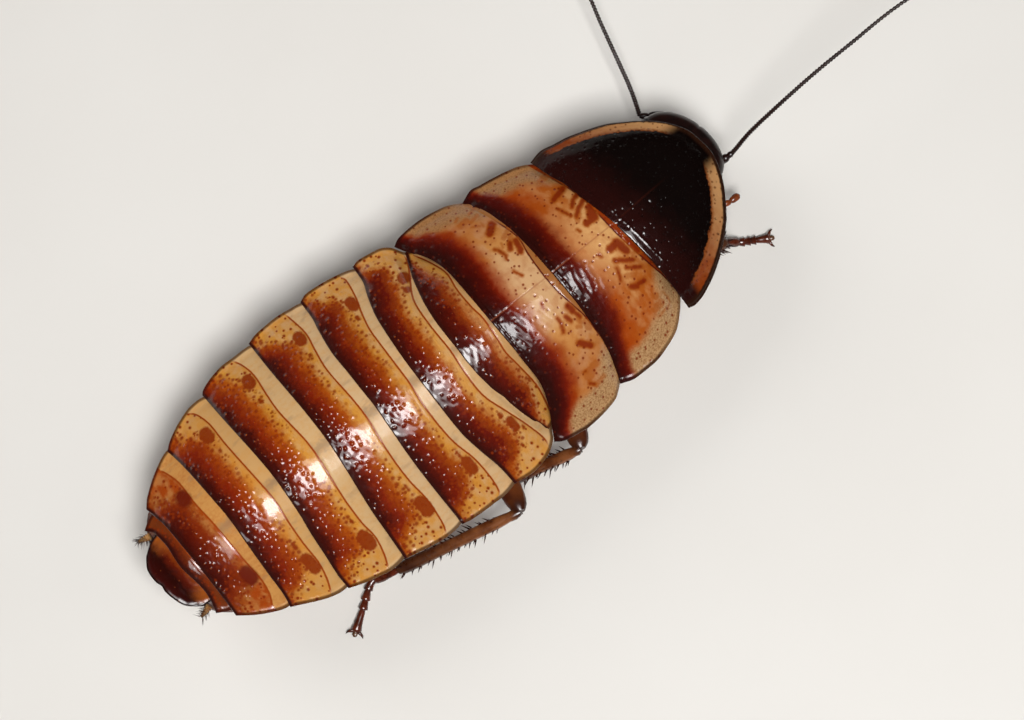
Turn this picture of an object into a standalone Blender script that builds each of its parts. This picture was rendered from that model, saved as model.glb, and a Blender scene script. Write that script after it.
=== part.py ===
"""Dwarf hissing cockroach, an adult female at life size, standing still on its six feet.

Sizes are in millimetres until a mesh is made. X runs to the animal's left, Y to its tail and
Z up, with the floor at zero. The back plates are thin-cut slices of one domed body, each with
its rear edge raised over the plate behind. An empty carries every piece and puts the middle of
the whole over the world's origin.
"""

import math
from dataclasses import dataclass

import bmesh
import bpy
from mathutils import Matrix, Vector

MM = 0.001
GAP = 0.3  # clearance that touching pieces keep
HEM_GAP = 0.34  # the same along the body, so that slanting hems keep about GAP
SKIRT = 4.65  # level at which the back plates end and the belly begins
RIM = 0.6  # thickness of a back plate at its side
LIFT = 0.3  # how far a plate's rear edge stands over the plate behind
LEAN = 0.12  # how far a cut between two plates leans forward for each millimetre down


@dataclass(frozen=True)
class Hem:
    """Rear edge of a back plate seen from above: a chord whose middle is bowed."""

    x: float  # middle of the chord, to the animal's left
    y: float  # middle of the chord, to its tail
    half: float  # half the chord
    turn: float  # degrees that the plate faces to the animal's left
    bow: float  # how far the edge's middle lies ahead of the chord
    power: float  # how late the bow turns back to the corners
    ridge: float  # height of the back there
    belly: float  # height of the underside there

    def left(self):
        turn = math.radians(self.turn)
        return Vector((math.cos(turn), math.sin(turn)))

    def ahead(self):
        turn = math.radians(self.turn)
        return Vector((math.sin(turn), -math.cos(turn)))

    def at(self, across, bowed=1.0):
        """Point on the edge, so many millimetres to the left of its middle."""
        share = min(1.0, abs(across) / self.half)
        bow = self.bow * bowed * (1.0 - share**self.power)
        return Vector((self.x, self.y)) + self.left() * across + self.ahead() * bow


HEMS = {
    "pronotum": Hem(-1.09, -13.21, 6.42, 6.3, 0.65, 2.5, 8.5, 2.9),
    "mesonotum": Hem(-1.14, -7.85, 7.05, 0.0, 1.18, 3.5, 9.2, 2.9),
    "metanotum": Hem(-0.74, -2.98, 7.46, 0.0, 1.50, 5.0, 9.6, 2.75),
    "tergite_1": Hem(-0.86, -3.09, 6.64, -1.7, -1.24, 3.0, 9.7, 2.75),
    "tergite_2": Hem(-0.67, 0.15, 8.05, -3.9, -0.86, 2.6, 9.8, 2.35),
    "tergite_3": Hem(-0.19, 3.98, 8.11, -5.2, -0.12, 2.0, 9.8, 2.1),
    "tergite_4": Hem(0.16, 7.89, 7.82, -5.2, 0.41, 1.6, 9.6, 2.05),
    "tergite_5": Hem(0.41, 11.80, 7.10, -4.2, 0.56, 1.6, 9.1, 2.15),
    "tergite_6": Hem(0.53, 15.31, 5.75, -2.6, 0.38, 1.8, 8.3, 2.5),
    "tergite_7": Hem(0.47, 18.26, 4.07, 0.0, 0.24, 2.0, 7.2, 3.2),
    "tergite_8": Hem(0.50, 18.94, 3.25, 0.0, 0.06, 2.0, 6.8, 3.6),
}

# Each plate behind the shield: the hem that it tucks under, its half width there and its bulge.
PLATES = {
    "mesonotum": ("pronotum", 5.95, 0.80),
    "metanotum": ("mesonotum", 7.00, 0.60),
    "tergite_1": ("metanotum", 6.30, 0.0),
    "tergite_2": ("tergite_1", 6.90, 0.70),
    "tergite_3": ("tergite_2", 7.76, 0.25),
    "tergite_4": ("tergite_3", 7.94, 0.20),
    "tergite_5": ("tergite_4", 7.76, 0.25),
    "tergite_6": ("tergite_5", 7.03, 0.30),
    "tergite_7": ("tergite_6", 5.66, 0.20),
    "tergite_8": ("tergite_7", 3.75, 0.0),
}
FIRST_TERGITE_HALF = 6.3

SHIELD_LENGTH = 7.75  # from the chord of the rear corners to the front
SHIELD_TURN = 4.0  # degrees that its front faces to the animal's left, less than its rear edge
SHIELD_POWER = 1.55
SHIELD_DOME = 0.8
SHIELD_FRONT_RISE = 0.35
SHIELD_HOLLOW_FROM = 4.6  # ahead of the chord, the shield is a shell over the head
SHIELD_HOLLOW_FULL = 5.3

END_HALF = 2.38
END_LENGTH = 1.62
END_RIDGE = 5.7

BELLY_WIDTH = 0.86  # width of the belly plates as a share of the back plates
BELLY_LIFT = 0.2
BELLY_TOP = SKIRT - GAP

HEAD_CENTRE = Vector((0.13, -20.12))
HEAD_TURN = 11.0
# Cross-sections of the head from the crown down: height, shift back, half width, half depth.
HEAD_SECTIONS = (
    (4.68, 0.10, 1.40, 0.50),
    (4.45, 0.05, 2.25, 1.10),
    (4.00, 0.00, 2.75, 1.50),
    (3.30, 0.05, 2.95, 1.68),
    (2.70, 0.30, 2.65, 1.55),
    (2.15, 0.60, 2.15, 1.30),
    (1.65, 0.95, 1.75, 1.05),
    (1.20, 1.25, 1.40, 0.85),
    (0.80, 1.50, 1.10, 0.60),
    (0.50, 1.65, 0.80, 0.35),
)
NECK_RADIUS = 1.15
NECK_Z = 3.0
EYE_PLACE = (2.72, -0.35, 3.60)  # to the side, ahead and up
EYE_RADII = (0.45, 0.70, 0.75)

COXA_TOP = 2.6  # the coxae lie flat under the chest
SOLE = 0.2  # height of a foot's middle line, low enough to flatten it on the floor
LEGS = {
    "right_fore": dict(
        hip=(-2.30, -16.05, 1.95), trochanter=(-3.00, -12.30, 1.60), thigh=(-3.95, -12.20, 1.50),
        knee=(-5.15, -16.00, 2.60),
        ankle=(-5.67, -18.70, 1.00), sole=(-6.25, -19.50, SOLE), toe=(-7.20, -20.95, SOLE),
        spines=8,
    ),
    "left_fore": dict(
        hip=(0.77, -16.05, 1.95), trochanter=(1.45, -12.30, 1.60), thigh=(2.40, -12.20, 1.50),
        knee=(3.60, -15.60, 2.60),
        ankle=(3.45, -17.90, 1.00), sole=(3.20, -18.75, SOLE), toe=(1.75, -19.95, SOLE),
        spines=8,
    ),
    "right_mid": dict(
        hip=(-2.24, -10.15, 1.95), trochanter=(-4.43, -5.90, 1.40), thigh=(-4.95, -5.66, 1.59),
        knee=(-9.55, -3.64, 3.20),
        ankle=(-8.20, 0.47, 0.95), sole=(-7.80, 1.70, SOLE), toe=(-7.10, 3.75, SOLE),
        spines=10,
    ),
    "left_mid": dict(
        hip=(0.85, -10.15, 1.95), trochanter=(3.13, -5.90, 1.40), thigh=(3.50, -5.47, 1.55),
        knee=(6.75, -1.70, 3.00),
        ankle=(6.90, 2.55, 0.95), sole=(6.80, 3.80, SOLE), toe=(6.45, 5.95, SOLE),
        spines=10,
    ),
    "right_hind": dict(
        hip=(-2.20, -5.43, 1.95), trochanter=(-3.66, -0.06, 1.25), thigh=(-4.26, 0.11, 1.30),
        knee=(-10.05, 1.55, 3.40),
        ankle=(-7.75, 9.50, 1.05), sole=(-7.20, 11.30, SOLE), toe=(-8.85, 13.95, SOLE),
        spines=14,
    ),
    "left_hind": dict(
        hip=(0.85, -5.43, 1.95), trochanter=(2.60, -0.06, 1.25), thigh=(3.04, 0.31, 1.20),
        knee=(7.30, 3.90, 2.50),
        ankle=(6.35, 11.30, 1.00), sole=(5.85, 13.20, SOLE), toe=(5.00, 16.50, SOLE),
        spines=14,
    ),
}
COXA_GIRTHS = ((0.0, 0.55, 0.45), (0.12, 1.00, 0.66), (0.40, 1.15, 0.72), (0.75, 0.75, 0.60), (1.0, 0.40, 0.42))
FEMUR_GIRTHS = ((0.0, 0.32, 0.32), (0.12, 0.46, 0.44), (0.45, 0.60, 0.48), (0.85, 0.44, 0.40), (1.0, 0.30, 0.30))
TIBIA_GIRTHS = ((0.0, 0.27, 0.27), (0.12, 0.33, 0.33), (0.60, 0.30, 0.30), (0.92, 0.38, 0.38), (1.0, 0.30, 0.30))
JOINT_BALL = 0.30
SPINE_LENGTH = 1.05
SPINE_RADIUS = 0.25
CLAW_LENGTH = 0.55
TARSUS_RADIUS = 0.28
PAD_CLEARANCE = 0.04  # the pad between the claws stays just clear of the floor

RIGHT_SOCKET = (-2.05, 1.50, 2.88)  # to the side, ahead and up, as for the eyes
LEFT_SOCKET = (2.05, 1.30, 2.45)
FLAGELLUM_RADIUS = 0.26
FLAGELLUM_TIP_RADIUS = 0.13
FLAGELLUM_RINGS = 26
RIGHT_FEELER = (
    (-1.86, -22.75, 3.70), (-1.84, -23.79, 4.20), (-1.80, -25.38, 4.70), (-1.80, -28.50, 5.40),
    (-1.92, -31.53, 5.90), (-2.15, -35.60, 6.30), (-3.10, -40.00, 6.30), (-5.00, -44.80, 5.60),
    (-6.60, -47.60, 5.00),
)
LEFT_FEELER = (
    (3.45, -19.65, 2.60), (5.09, -20.31, 2.75), (7.20, -20.94, 2.95), (10.00, -21.80, 3.00),
    (14.20, -23.30, 3.00), (18.60, -25.30, 2.90), (22.80, -27.90, 2.80), (25.40, -30.00, 2.70),
)


def clear_scene():
    for item in list(bpy.data.objects):
        bpy.data.objects.remove(item)


def finish_material(name, colour, roughness, metallic=0.0):
    """Plain surface with the piece's own colour."""
    made = bpy.data.materials.new(name)
    made.use_nodes = True
    shader = made.node_tree.nodes["Principled BSDF"]
    shader.inputs["Base Color"].default_value = (*colour, 1.0)
    shader.inputs["Roughness"].default_value = roughness
    shader.inputs["Metallic"].default_value = metallic
    return made


class Workshop:
    """Collection, carrier and finishes that every piece shares."""

    def __init__(self):
        self.collection = bpy.data.collections.new("dwarf_hissing_cockroach")
        bpy.context.scene.collection.children.link(self.collection)
        self.carrier = bpy.data.objects.new("specimen", None)
        self.collection.objects.link(self.carrier)
        self.finishes = {
            "shield": finish_material("shield_black", (0.030, 0.008, 0.006), 0.25),
            "chest": finish_material("chest_amber", (0.46, 0.17, 0.04), 0.28),
            "banded": finish_material("back_chestnut", (0.30, 0.07, 0.015), 0.25),
            "belly": finish_material("belly_brown", (0.22, 0.08, 0.03), 0.35),
            "head": finish_material("head_black", (0.025, 0.010, 0.008), 0.30),
            "eye": finish_material("eye_black", (0.010, 0.008, 0.010), 0.15),
            "leg": finish_material("leg_brown", (0.25, 0.09, 0.03), 0.35),
            "feeler": finish_material("feeler_brown", (0.06, 0.025, 0.015), 0.40),
        }

    def add(self, name, mesh_source, finish, origin=Vector((0.0, 0.0, 0.0))):
        """Named object made from a bmesh in millimetres, with its own origin."""
        bmesh.ops.translate(mesh_source, verts=mesh_source.verts, vec=-origin)
        bmesh.ops.scale(mesh_source, verts=mesh_source.verts, vec=(MM, MM, MM))
        bmesh.ops.recalc_face_normals(mesh_source, faces=mesh_source.faces)
        mesh = bpy.data.meshes.new(name)
        mesh_source.to_mesh(mesh)
        mesh_source.free()
        mesh.shade_smooth()
        mesh.set_sharp_from_angle(angle=math.radians(35))
        mesh.materials.append(self.finishes[finish])
        made = bpy.data.objects.new(name, mesh)
        made.location = origin * MM
        made.parent = self.carrier
        self.collection.objects.link(made)
        return made


def loft(rings):
    """Closed skin through rings of equally many points, with a flat cap at either end."""
    skin = bmesh.new()
    rows = [[skin.verts.new(point) for point in ring] for ring in rings]
    for row, following in zip(rows, rows[1:]):
        for i in range(len(row)):
            j = (i + 1) % len(row)
            skin.faces.new((row[i], row[j], following[j], following[i]))
    skin.faces.new(list(reversed(rows[0])))
    skin.faces.new(rows[-1])
    return skin


def arch(share):
    """Height of the back's cross-section, from 1 at the ridge to 0 at the side."""
    return 0.65 * (1.0 - share**2) + 0.35 * (1.0 + math.cos(math.pi * share)) / 2.0


def spread(count):
    """Places from -1 to 1 that crowd a little towards both ends."""
    return [math.sin(math.pi / 2.0 * (2.0 * i / (count - 1) - 1.0) * 0.92) / math.sin(math.pi * 0.46) for i in range(count)]


def steps(count):
    return [i / (count - 1) for i in range(count)]


def leaned(point, ahead, level):
    """Foot of a cut that starts at a point and leans forward on its way down to a level."""
    shift = ahead * LEAN * (point.z - level)
    return Vector((point.x + shift.x, point.y + shift.y, level))


def plate_front(name, across):
    """Front edge of a plate in plan: the rear edge of what covers it, and the gap."""
    cover, _, _ = PLATES[name]
    hem = HEMS[cover]
    edge = hem.at(across)
    if cover == "tergite_1":
        beyond = HEMS["metanotum"].at(across)
        if beyond.y > edge.y:
            edge = beyond
    return edge - hem.ahead() * HEM_GAP


def back_plate(shop, name, finish, stations=23, rows=5):
    """One domed plate, from under the plate ahead to its own raised rear edge."""
    cover, front_half, bulge = PLATES[name]
    front_hem, rear_hem = HEMS[cover], HEMS[name]
    rear_half = FIRST_TERGITE_HALF if name == "tergite_1" else rear_hem.half
    rings = []
    for side in spread(stations):
        front = plate_front(name, side * front_half)
        rear = rear_hem.at(side * rear_half)
        left = front_hem.left().lerp(rear_hem.left(), 0.5)
        ahead = front_hem.ahead().lerp(rear_hem.ahead(), 0.5)
        top = []
        for along in steps(rows):
            plan = front.lerp(rear, along) + left * side * bulge * math.sin(math.pi * along**0.8)
            ridge = front_hem.ridge + (rear_hem.ridge - front_hem.ridge) * along - LIFT * (1.0 - along)
            height = SKIRT + RIM + (ridge - SKIRT - RIM) * arch(abs(side))
            top.append(Vector((plan.x, plan.y, height)))
        rings.append(top + [leaned(top[-1], ahead, SKIRT), leaned(top[0], ahead, SKIRT)])
    return shop.add(name, loft(rings), finish)


def shield_top(hem, across, forward):
    """Point on the shield's upper face, from its rear chord's middle."""
    fall = (across / hem.half) ** 2 + (max(forward, 0.0) / SHIELD_LENGTH) ** SHIELD_POWER
    edge = SKIRT + RIM + SHIELD_FRONT_RISE * max(forward, 0.0) / SHIELD_LENGTH
    height = edge + (hem.ridge - edge) * max(0.0, 1.0 - fall) ** SHIELD_DOME
    turn = math.radians(SHIELD_TURN)
    plan = Vector((hem.x, hem.y)) + hem.left() * across
    plan = plan + Vector((math.sin(turn), -math.cos(turn))) * forward
    return Vector((plan.x, plan.y, height))


def shield(shop, stations=25, rows=9):
    """The pronotum: a domed half-round plate, hollow in front where the head sits."""
    hem = HEMS["pronotum"]
    rings = []
    for side in spread(stations):
        across = side * hem.half * 0.99
        share = abs(across) / hem.half
        front = SHIELD_LENGTH * (1.0 - share**2) ** (1.0 / SHIELD_POWER)
        rear = hem.bow * (1.0 - share**hem.power)
        top, under = [], []
        for along in steps(rows):
            forward = front + (rear - front) * math.sin(along * math.pi / 2.0) ** 1.3
            point = shield_top(hem, across, forward)
            hollow = (forward - SHIELD_HOLLOW_FROM) / (SHIELD_HOLLOW_FULL - SHIELD_HOLLOW_FROM)
            hollow = min(1.0, max(0.0, hollow))
            level = SKIRT + (point.z - RIM - SKIRT) * hollow
            top.append(point)
            under.append(leaned(point, hem.ahead() * along, level))
        rings.append(top + under[::-1])
    return shop.add("pronotum", loft(rings), "shield")


def end_plate(shop, stations=15, rows=5):
    """The supra-anal plate, with a rounded rear edge that is slightly notched in the middle."""
    hem = HEMS["tergite_8"]
    rings = []
    for side in spread(stations):
        front = hem.at(side * END_HALF) - hem.ahead() * HEM_GAP
        notch = 0.12 * math.exp(-((side / 0.16) ** 2))
        length = END_LENGTH * (1.0 - 0.86 * abs(side) ** 3.2) - notch
        narrow = 1.0 - 0.10 * abs(side)
        top = []
        for along in steps(rows):
            plan = front - hem.ahead() * length * along
            plan = plan + hem.left() * side * END_HALF * (narrow - 1.0) * along
            ridge = hem.ridge - LIFT + (END_RIDGE - hem.ridge + LIFT) * along**1.4
            top.append(Vector((plan.x, plan.y, SKIRT + RIM + (ridge - SKIRT - RIM) * arch(abs(side)))))
        low = [Vector((top[-1].x, top[-1].y, SKIRT)), leaned(top[0], hem.ahead(), SKIRT)]
        rings.append(top + low)
    return shop.add("supra_anal_plate", loft(rings), "banded")


def belly_plate(shop, name, front_hem, rear_hem, finish, flat=False, taper=0.0, stations=13):
    """One plate of the underside, its top flat against the back plates."""
    rings = []
    for side in spread(stations):
        shoulder = 1.0 - (1.0 - abs(side)) * (0.35 if flat else 1.0)
        edge = abs(side) ** 6 if flat else 1.0 - math.sqrt(1.0 - min(1.0, side**2 * 0.97))
        front = front_hem.at(side * front_hem.half * BELLY_WIDTH, 0.0) - front_hem.ahead() * HEM_GAP
        rear = rear_hem.at(side * rear_hem.half * BELLY_WIDTH, 0.0)
        rear = rear + rear_hem.ahead() * taper * shoulder**4
        rim = 0.35
        low = []
        for along in steps(4):
            plan = front.lerp(rear, along)
            depth = BELLY_TOP - rim - (front_hem.belly + (rear_hem.belly - front_hem.belly) * along)
            drop = depth * (1.0 - edge) + BELLY_LIFT * along * (1.0 - edge)
            low.append(Vector((plan.x, plan.y, BELLY_TOP - rim - drop)))
        top = [Vector((low[-1].x, low[-1].y, BELLY_TOP)), Vector((low[0].x, low[0].y, BELLY_TOP))]
        rings.append(low + top)
    return shop.add(name, loft(rings), finish)


def chest_plates(shop):
    """The three sterna, flat below so that the coxae lie against them."""
    neck = Hem(-0.55, -17.75, 4.3, 8.0, 0.0, 2.0, 0.0, 2.9)
    pro = Hem(-1.15, -13.10, 5.4, 6.6, 0.0, 2.0, 0.0, 2.9)
    meso = Hem(-1.14, -8.10, 6.7, 0.0, 0.0, 2.0, 0.0, 2.9)
    meta = Hem(-0.80, -3.20, 6.9, -1.7, 0.0, 2.0, 0.0, 2.9)
    belly_plate(shop, "prosternum", neck, pro, "belly", flat=True)
    belly_plate(shop, "mesosternum", pro, meso, "belly", flat=True)
    belly_plate(shop, "metasternum", meso, meta, "belly", flat=True)
    return meta


def belly(shop):
    """Underside of the body, from the neck to the subgenital plate."""
    ahead = chest_plates(shop)
    for number in range(2, 7):
        hem = HEMS[f"tergite_{number}"]
        belly_plate(shop, f"sternite_{number}", ahead, hem, "belly")
        ahead = hem
    end = Hem(0.50, 19.75, 4.30, 0.0, 0.0, 2.0, 0.0, 3.55)
    belly_plate(shop, "subgenital_plate", ahead, end, "belly", taper=1.1)


def side_frame(axis):
    """Level and upright directions square to an axis."""
    level = axis.cross(Vector((0.0, 0.0, 1.0)))
    if level.length < 1e-3:
        level = Vector((1.0, 0.0, 0.0))
    level.normalize()
    return level, level.cross(axis).normalized()


def limb(start, end, girths, sides=10, ceiling=None):
    """Straight tapering limb with oval cross-sections, cut flat where it meets a ceiling."""
    axis = (end - start).normalized()
    level, up = side_frame(axis)
    rings = []
    for along, wide, high in girths:
        centre = start.lerp(end, along)
        ring = []
        for i in range(sides):
            angle = 2.0 * math.pi * i / sides
            point = centre + level * wide * math.cos(angle) + up * high * math.sin(angle)
            if ceiling is not None:
                point.z = min(point.z, ceiling)
            ring.append(point)
        rings.append(ring)
    return loft(rings)


def past(joint, towards, distance):
    return joint + (towards - joint).normalized() * distance


def keep_largest(item):
    """Drops every closed surface of a mesh but the largest."""
    shape = bmesh.new()
    shape.from_mesh(item.data)
    unseen = set(shape.verts)
    islands = []
    while unseen:
        island, front = set(), [unseen.pop()]
        while front:
            vert = front.pop()
            island.add(vert)
            for edge in vert.link_edges:
                other = edge.other_vert(vert)
                if other in unseen:
                    unseen.discard(other)
                    front.append(other)
        islands.append(island)
    islands.sort(key=len, reverse=True)
    scraps = [vert for island in islands[1:] for vert in island]
    bmesh.ops.delete(shape, geom=scraps, context="VERTS")
    shape.to_mesh(item.data)
    shape.free()


def combine(base, pieces, operation="UNION"):
    """Joins closed pieces to a base, or cuts them from it, in one Boolean."""
    tools = bpy.data.collections.new("pieces_to_join")
    bpy.context.scene.collection.children.link(tools)
    for number, piece in enumerate(pieces):
        bmesh.ops.scale(piece, verts=piece.verts, vec=(MM, MM, MM))
        bmesh.ops.recalc_face_normals(piece, faces=piece.faces)
        mesh = bpy.data.meshes.new(f"piece_{number}")
        piece.to_mesh(mesh)
        piece.free()
        made = bpy.data.objects.new(f"piece_{number}", mesh)
        made.parent = base.parent
        tools.objects.link(made)
    step = base.modifiers.new("join", "BOOLEAN")
    step.operation = operation
    step.operand_type = "COLLECTION"
    step.solver = "EXACT"
    step.collection = tools
    bpy.context.view_layer.update()
    graph = bpy.context.evaluated_depsgraph_get()
    joined = bpy.data.meshes.new_from_object(base.evaluated_get(graph))
    base.modifiers.remove(step)
    base.data = joined
    for made in list(tools.objects):
        bpy.data.objects.remove(made)
    bpy.data.collections.remove(tools)
    keep_largest(base)


def spine(root, direction, length, radius):
    """Thorn as a slim cone, its root sunk in what it grows from."""
    cone = bmesh.new()
    turn = direction.to_track_quat("Z", "Y").to_matrix().to_4x4()
    place = Matrix.Translation(root + direction.normalized() * length / 2.0) @ turn
    bmesh.ops.create_cone(
        cone, cap_ends=True, segments=5, radius1=radius, radius2=radius * 0.16, depth=length, matrix=place
    )
    return cone


def shin_spines(start, end, count):
    """Two rows of thorns along the outer side of a tibia, and a crown at its end."""
    axis = (end - start).normalized()
    level, up = side_frame(axis)
    thorns = []
    for i in range(count - 2):
        along = 0.22 + 0.66 * i / (count - 3)
        around = math.radians((35.0, 145.0, 250.0)[i % 3])
        outward = level * math.cos(around) + up * math.sin(around)
        lean = (outward + axis * 0.75).normalized()
        thorns.append(spine(start.lerp(end, along) + outward * 0.05, lean, SPINE_LENGTH, SPINE_RADIUS))
    for side in (-1.0, 1.0):
        lean = (level * side + axis * 1.1 + up * 0.2).normalized()
        thorns.append(spine(start.lerp(end, 0.90), lean, SPINE_LENGTH, SPINE_RADIUS))
    return thorns


def foot(shop, name, ankle, sole, toe, sides=8):
    """Five short joints that come down to the floor and lie flat on it, with claws and a pad."""
    start = past(ankle, sole, JOINT_BALL + GAP + 0.1)
    path = [start, start.lerp(sole, 0.55), sole, sole.lerp(toe, 0.5), toe]
    lengths = [(b - a).length for a, b in zip(path, path[1:])]
    whole = sum(lengths)

    def at(share):
        left = share * whole
        for a, b, length in zip(path, path[1:], lengths):
            if left <= length:
                return a.lerp(b, left / length), (b - a).normalized()
            left -= length
        return path[-1].copy(), (path[-1] - path[-2]).normalized()

    ends = (0.0, 0.34, 0.50, 0.62, 0.73, 1.0)
    rings = []
    for first, last in zip(ends, ends[1:]):
        for part, girth in ((0.04, 0.80), (0.55, 0.88), (0.93, 1.12)):
            centre, axis = at(first + (last - first) * part)
            level, up = side_frame(axis)
            ring = []
            for i in range(sides):
                angle = 2.0 * math.pi * (i + 0.5) / sides
                reach = TARSUS_RADIUS * girth
                point = centre + level * reach * math.cos(angle) + up * reach * math.sin(angle)
                point.z = max(point.z, 0.0)
                ring.append(point)
            rings.append(ring)
    made = shop.add(name, loft(rings), "leg")
    axis = (toe - sole).normalized()
    level, up = side_frame(axis)
    extras = []
    for side in (-1.0, 1.0):
        lean = (axis * 0.75 + level * side + up * 0.10).normalized()
        extras.append(spine(toe - axis * 0.16 + level * side * 0.11, lean, CLAW_LENGTH, 0.17))
    pad = bmesh.new()
    spot = toe + axis * 0.12
    bmesh.ops.create_uvsphere(
        pad, u_segments=8, v_segments=5, radius=0.27, matrix=Matrix.Translation((spot.x, spot.y, SOLE))
    )
    for vert in pad.verts:
        vert.co.z = max(vert.co.z, PAD_CLEARANCE)
    extras.append(pad)
    combine(made, extras)


def leg(shop, name, plan):
    """Coxa, femur, tibia and foot of one leg, each facing the last across a small gap."""
    hip, trochanter, thigh, knee, ankle, sole, toe = (
        Vector(plan[key]) for key in ("hip", "trochanter", "thigh", "knee", "ankle", "sole", "toe")
    )
    shop.add(f"{name}_coxa", limb(hip, past(trochanter, hip, 0.1), COXA_GIRTHS, 12, COXA_TOP), "leg", hip)
    shop.add(f"{name}_femur", limb(thigh, knee, FEMUR_GIRTHS, 10), "leg", trochanter)
    shin_start = past(knee, ankle, JOINT_BALL + GAP)
    shin = shop.add(f"{name}_tibia", limb(shin_start, ankle, TIBIA_GIRTHS, 8), "leg")
    combine(shin, shin_spines(shin_start, ankle, plan["spines"]))
    foot(shop, f"{name}_tarsus", ankle, sole, toe)


def head_point(side, ahead, height):
    """Point in the head's own frame, which is turned to the animal's left."""
    turn = math.radians(HEAD_TURN)
    left = Vector((math.cos(turn), math.sin(turn)))
    forward = Vector((math.sin(turn), -math.cos(turn)))
    plan = HEAD_CENTRE + left * side + forward * ahead
    return Vector((plan.x, plan.y, height))


def head(shop, sides=20):
    """Head capsule with the neck behind it and a socket for each eye, then the eyes."""
    rings = []
    for height, back, half, deep in HEAD_SECTIONS:
        ring = []
        for i in range(sides):
            angle = 2.0 * math.pi * i / sides
            ring.append(head_point(half * math.cos(angle), deep * math.sin(angle) - back, height))
        rings.append(ring)
    capsule = shop.add("head", loft(rings), "head")
    neck = bmesh.new()
    start, end = head_point(0.0, -0.4, NECK_Z + 0.4), Vector((-0.40, -17.98, NECK_Z + 0.45))
    turn = (end - start).to_track_quat("Z", "Y").to_matrix().to_4x4()
    bmesh.ops.create_cone(
        neck, cap_ends=True, segments=12, radius1=NECK_RADIUS, radius2=NECK_RADIUS * 0.85,
        depth=(end - start).length, matrix=Matrix.Translation((start + end) / 2.0) @ turn,
    )
    combine(capsule, [neck])
    sockets = []
    for side, word in ((1.0, "left"), (-1.0, "right")):
        for grow in (GAP, 0.0):
            ball = bmesh.new()
            bmesh.ops.create_uvsphere(ball, u_segments=14, v_segments=9, radius=1.0)
            bmesh.ops.scale(ball, verts=ball.verts, vec=[radius + grow for radius in EYE_RADII])
            bmesh.ops.rotate(ball, verts=ball.verts, matrix=Matrix.Rotation(math.radians(HEAD_TURN), 3, "Z"))
            spot = head_point(side * EYE_PLACE[0], EYE_PLACE[1], EYE_PLACE[2])
            bmesh.ops.translate(ball, verts=ball.verts, vec=spot)
            if grow:
                sockets.append(ball)
            else:
                shop.add(f"{word}_eye", ball, "eye")
    combine(capsule, sockets, "DIFFERENCE")


def smooth_path(points, count):
    """Points at equal steps of parameter on a smooth curve through the given ones."""
    spots = [Vector(point) for point in points]
    spots = [spots[0] * 2.0 - spots[1]] + spots + [spots[-1] * 2.0 - spots[-2]]
    found = []
    for i in range(count):
        place = (len(points) - 1) * i / (count - 1)
        base = min(int(place), len(points) - 2)
        t = place - base
        p0, p1, p2, p3 = spots[base : base + 4]
        found.append(
            0.5 * (2.0 * p1 + (p2 - p0) * t + (2.0 * p0 - 5.0 * p1 + 4.0 * p2 - p3) * t**2
                   + (3.0 * p1 - p0 - 3.0 * p2 + p3) * t**3)
        )
    return found


def tube(path, radii, sides=7):
    """Closed skin of round cross-sections along a path."""
    rings = []
    for i, centre in enumerate(path):
        axis = (path[min(i + 1, len(path) - 1)] - path[max(i - 1, 0)]).normalized()
        level, up = side_frame(axis)
        rings.append([
            centre + (level * math.cos(2.0 * math.pi * k / sides) + up * math.sin(2.0 * math.pi * k / sides)) * radii[i]
            for k in range(sides)
        ])
    return loft(rings)


def feeler(shop, word, socket, points):
    """Scape at the head, then the long beaded flagellum."""
    root = head_point(*socket)
    tip = Vector(points[0])
    joint = past(tip, root, GAP + 0.1)
    path = [root.lerp(joint, t) for t in (0.0, 0.12, 0.45, 0.62, 0.68, 0.80, 1.0)]
    shop.add(f"{word}_scape", tube(path, (0.22, 0.30, 0.30, 0.26, 0.25, 0.28, 0.25), 8), "feeler", root)
    count = FLAGELLUM_RINGS * 2 + 1
    line = smooth_path(points, count)
    radii = []
    for i in range(count):
        share = i / (count - 1)
        girth = FLAGELLUM_RADIUS + (FLAGELLUM_TIP_RADIUS - FLAGELLUM_RADIUS) * share
        radii.append(girth * (1.0 if i % 2 else 0.84))
    shop.add(f"{word}_flagellum", tube(line, radii), "feeler", tip)


def palp(shop, name, points, girth):
    """Jointed palp that widens to its last joint."""
    line = smooth_path(points, 13)
    beads = (0.85, 1.0, 1.05, 0.85, 1.0, 1.05, 0.85, 1.0, 1.1, 0.85, 1.1, 1.25, 0.9)
    shop.add(name, tube(line, [girth * bead for bead in beads], 8), "leg", Vector(points[0]))


def mouth_palps(shop):
    """The long palps beside the mouth and the short ones behind it."""
    palp(shop, "right_maxillary_palp",
         ((-2.01, -19.31, 1.15), (-2.75, -19.25, 1.60), (-3.50, -19.35, 1.85), (-3.95, -20.05, 1.80),
          (-4.03, -20.95, 1.50)), 0.25)
    palp(shop, "left_maxillary_palp",
         ((1.82, -18.57, 1.15), (2.35, -18.95, 1.50), (2.65, -19.60, 1.65), (2.50, -20.30, 1.50),
          (2.20, -20.85, 1.25)), 0.25)
    palp(shop, "right_labial_palp",
         ((-0.92, -17.62, 1.05), (-1.00, -17.35, 1.00), (-1.05, -17.05, 0.90), (-1.10, -16.75, 0.75),
          (-1.10, -16.45, 0.55)), 0.24)
    palp(shop, "left_labial_palp",
         ((0.16, -17.41, 1.05), (0.12, -17.15, 1.00), (0.06, -16.90, 0.90), (0.00, -16.65, 0.75),
          (-0.05, -16.40, 0.55)), 0.24)


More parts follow.
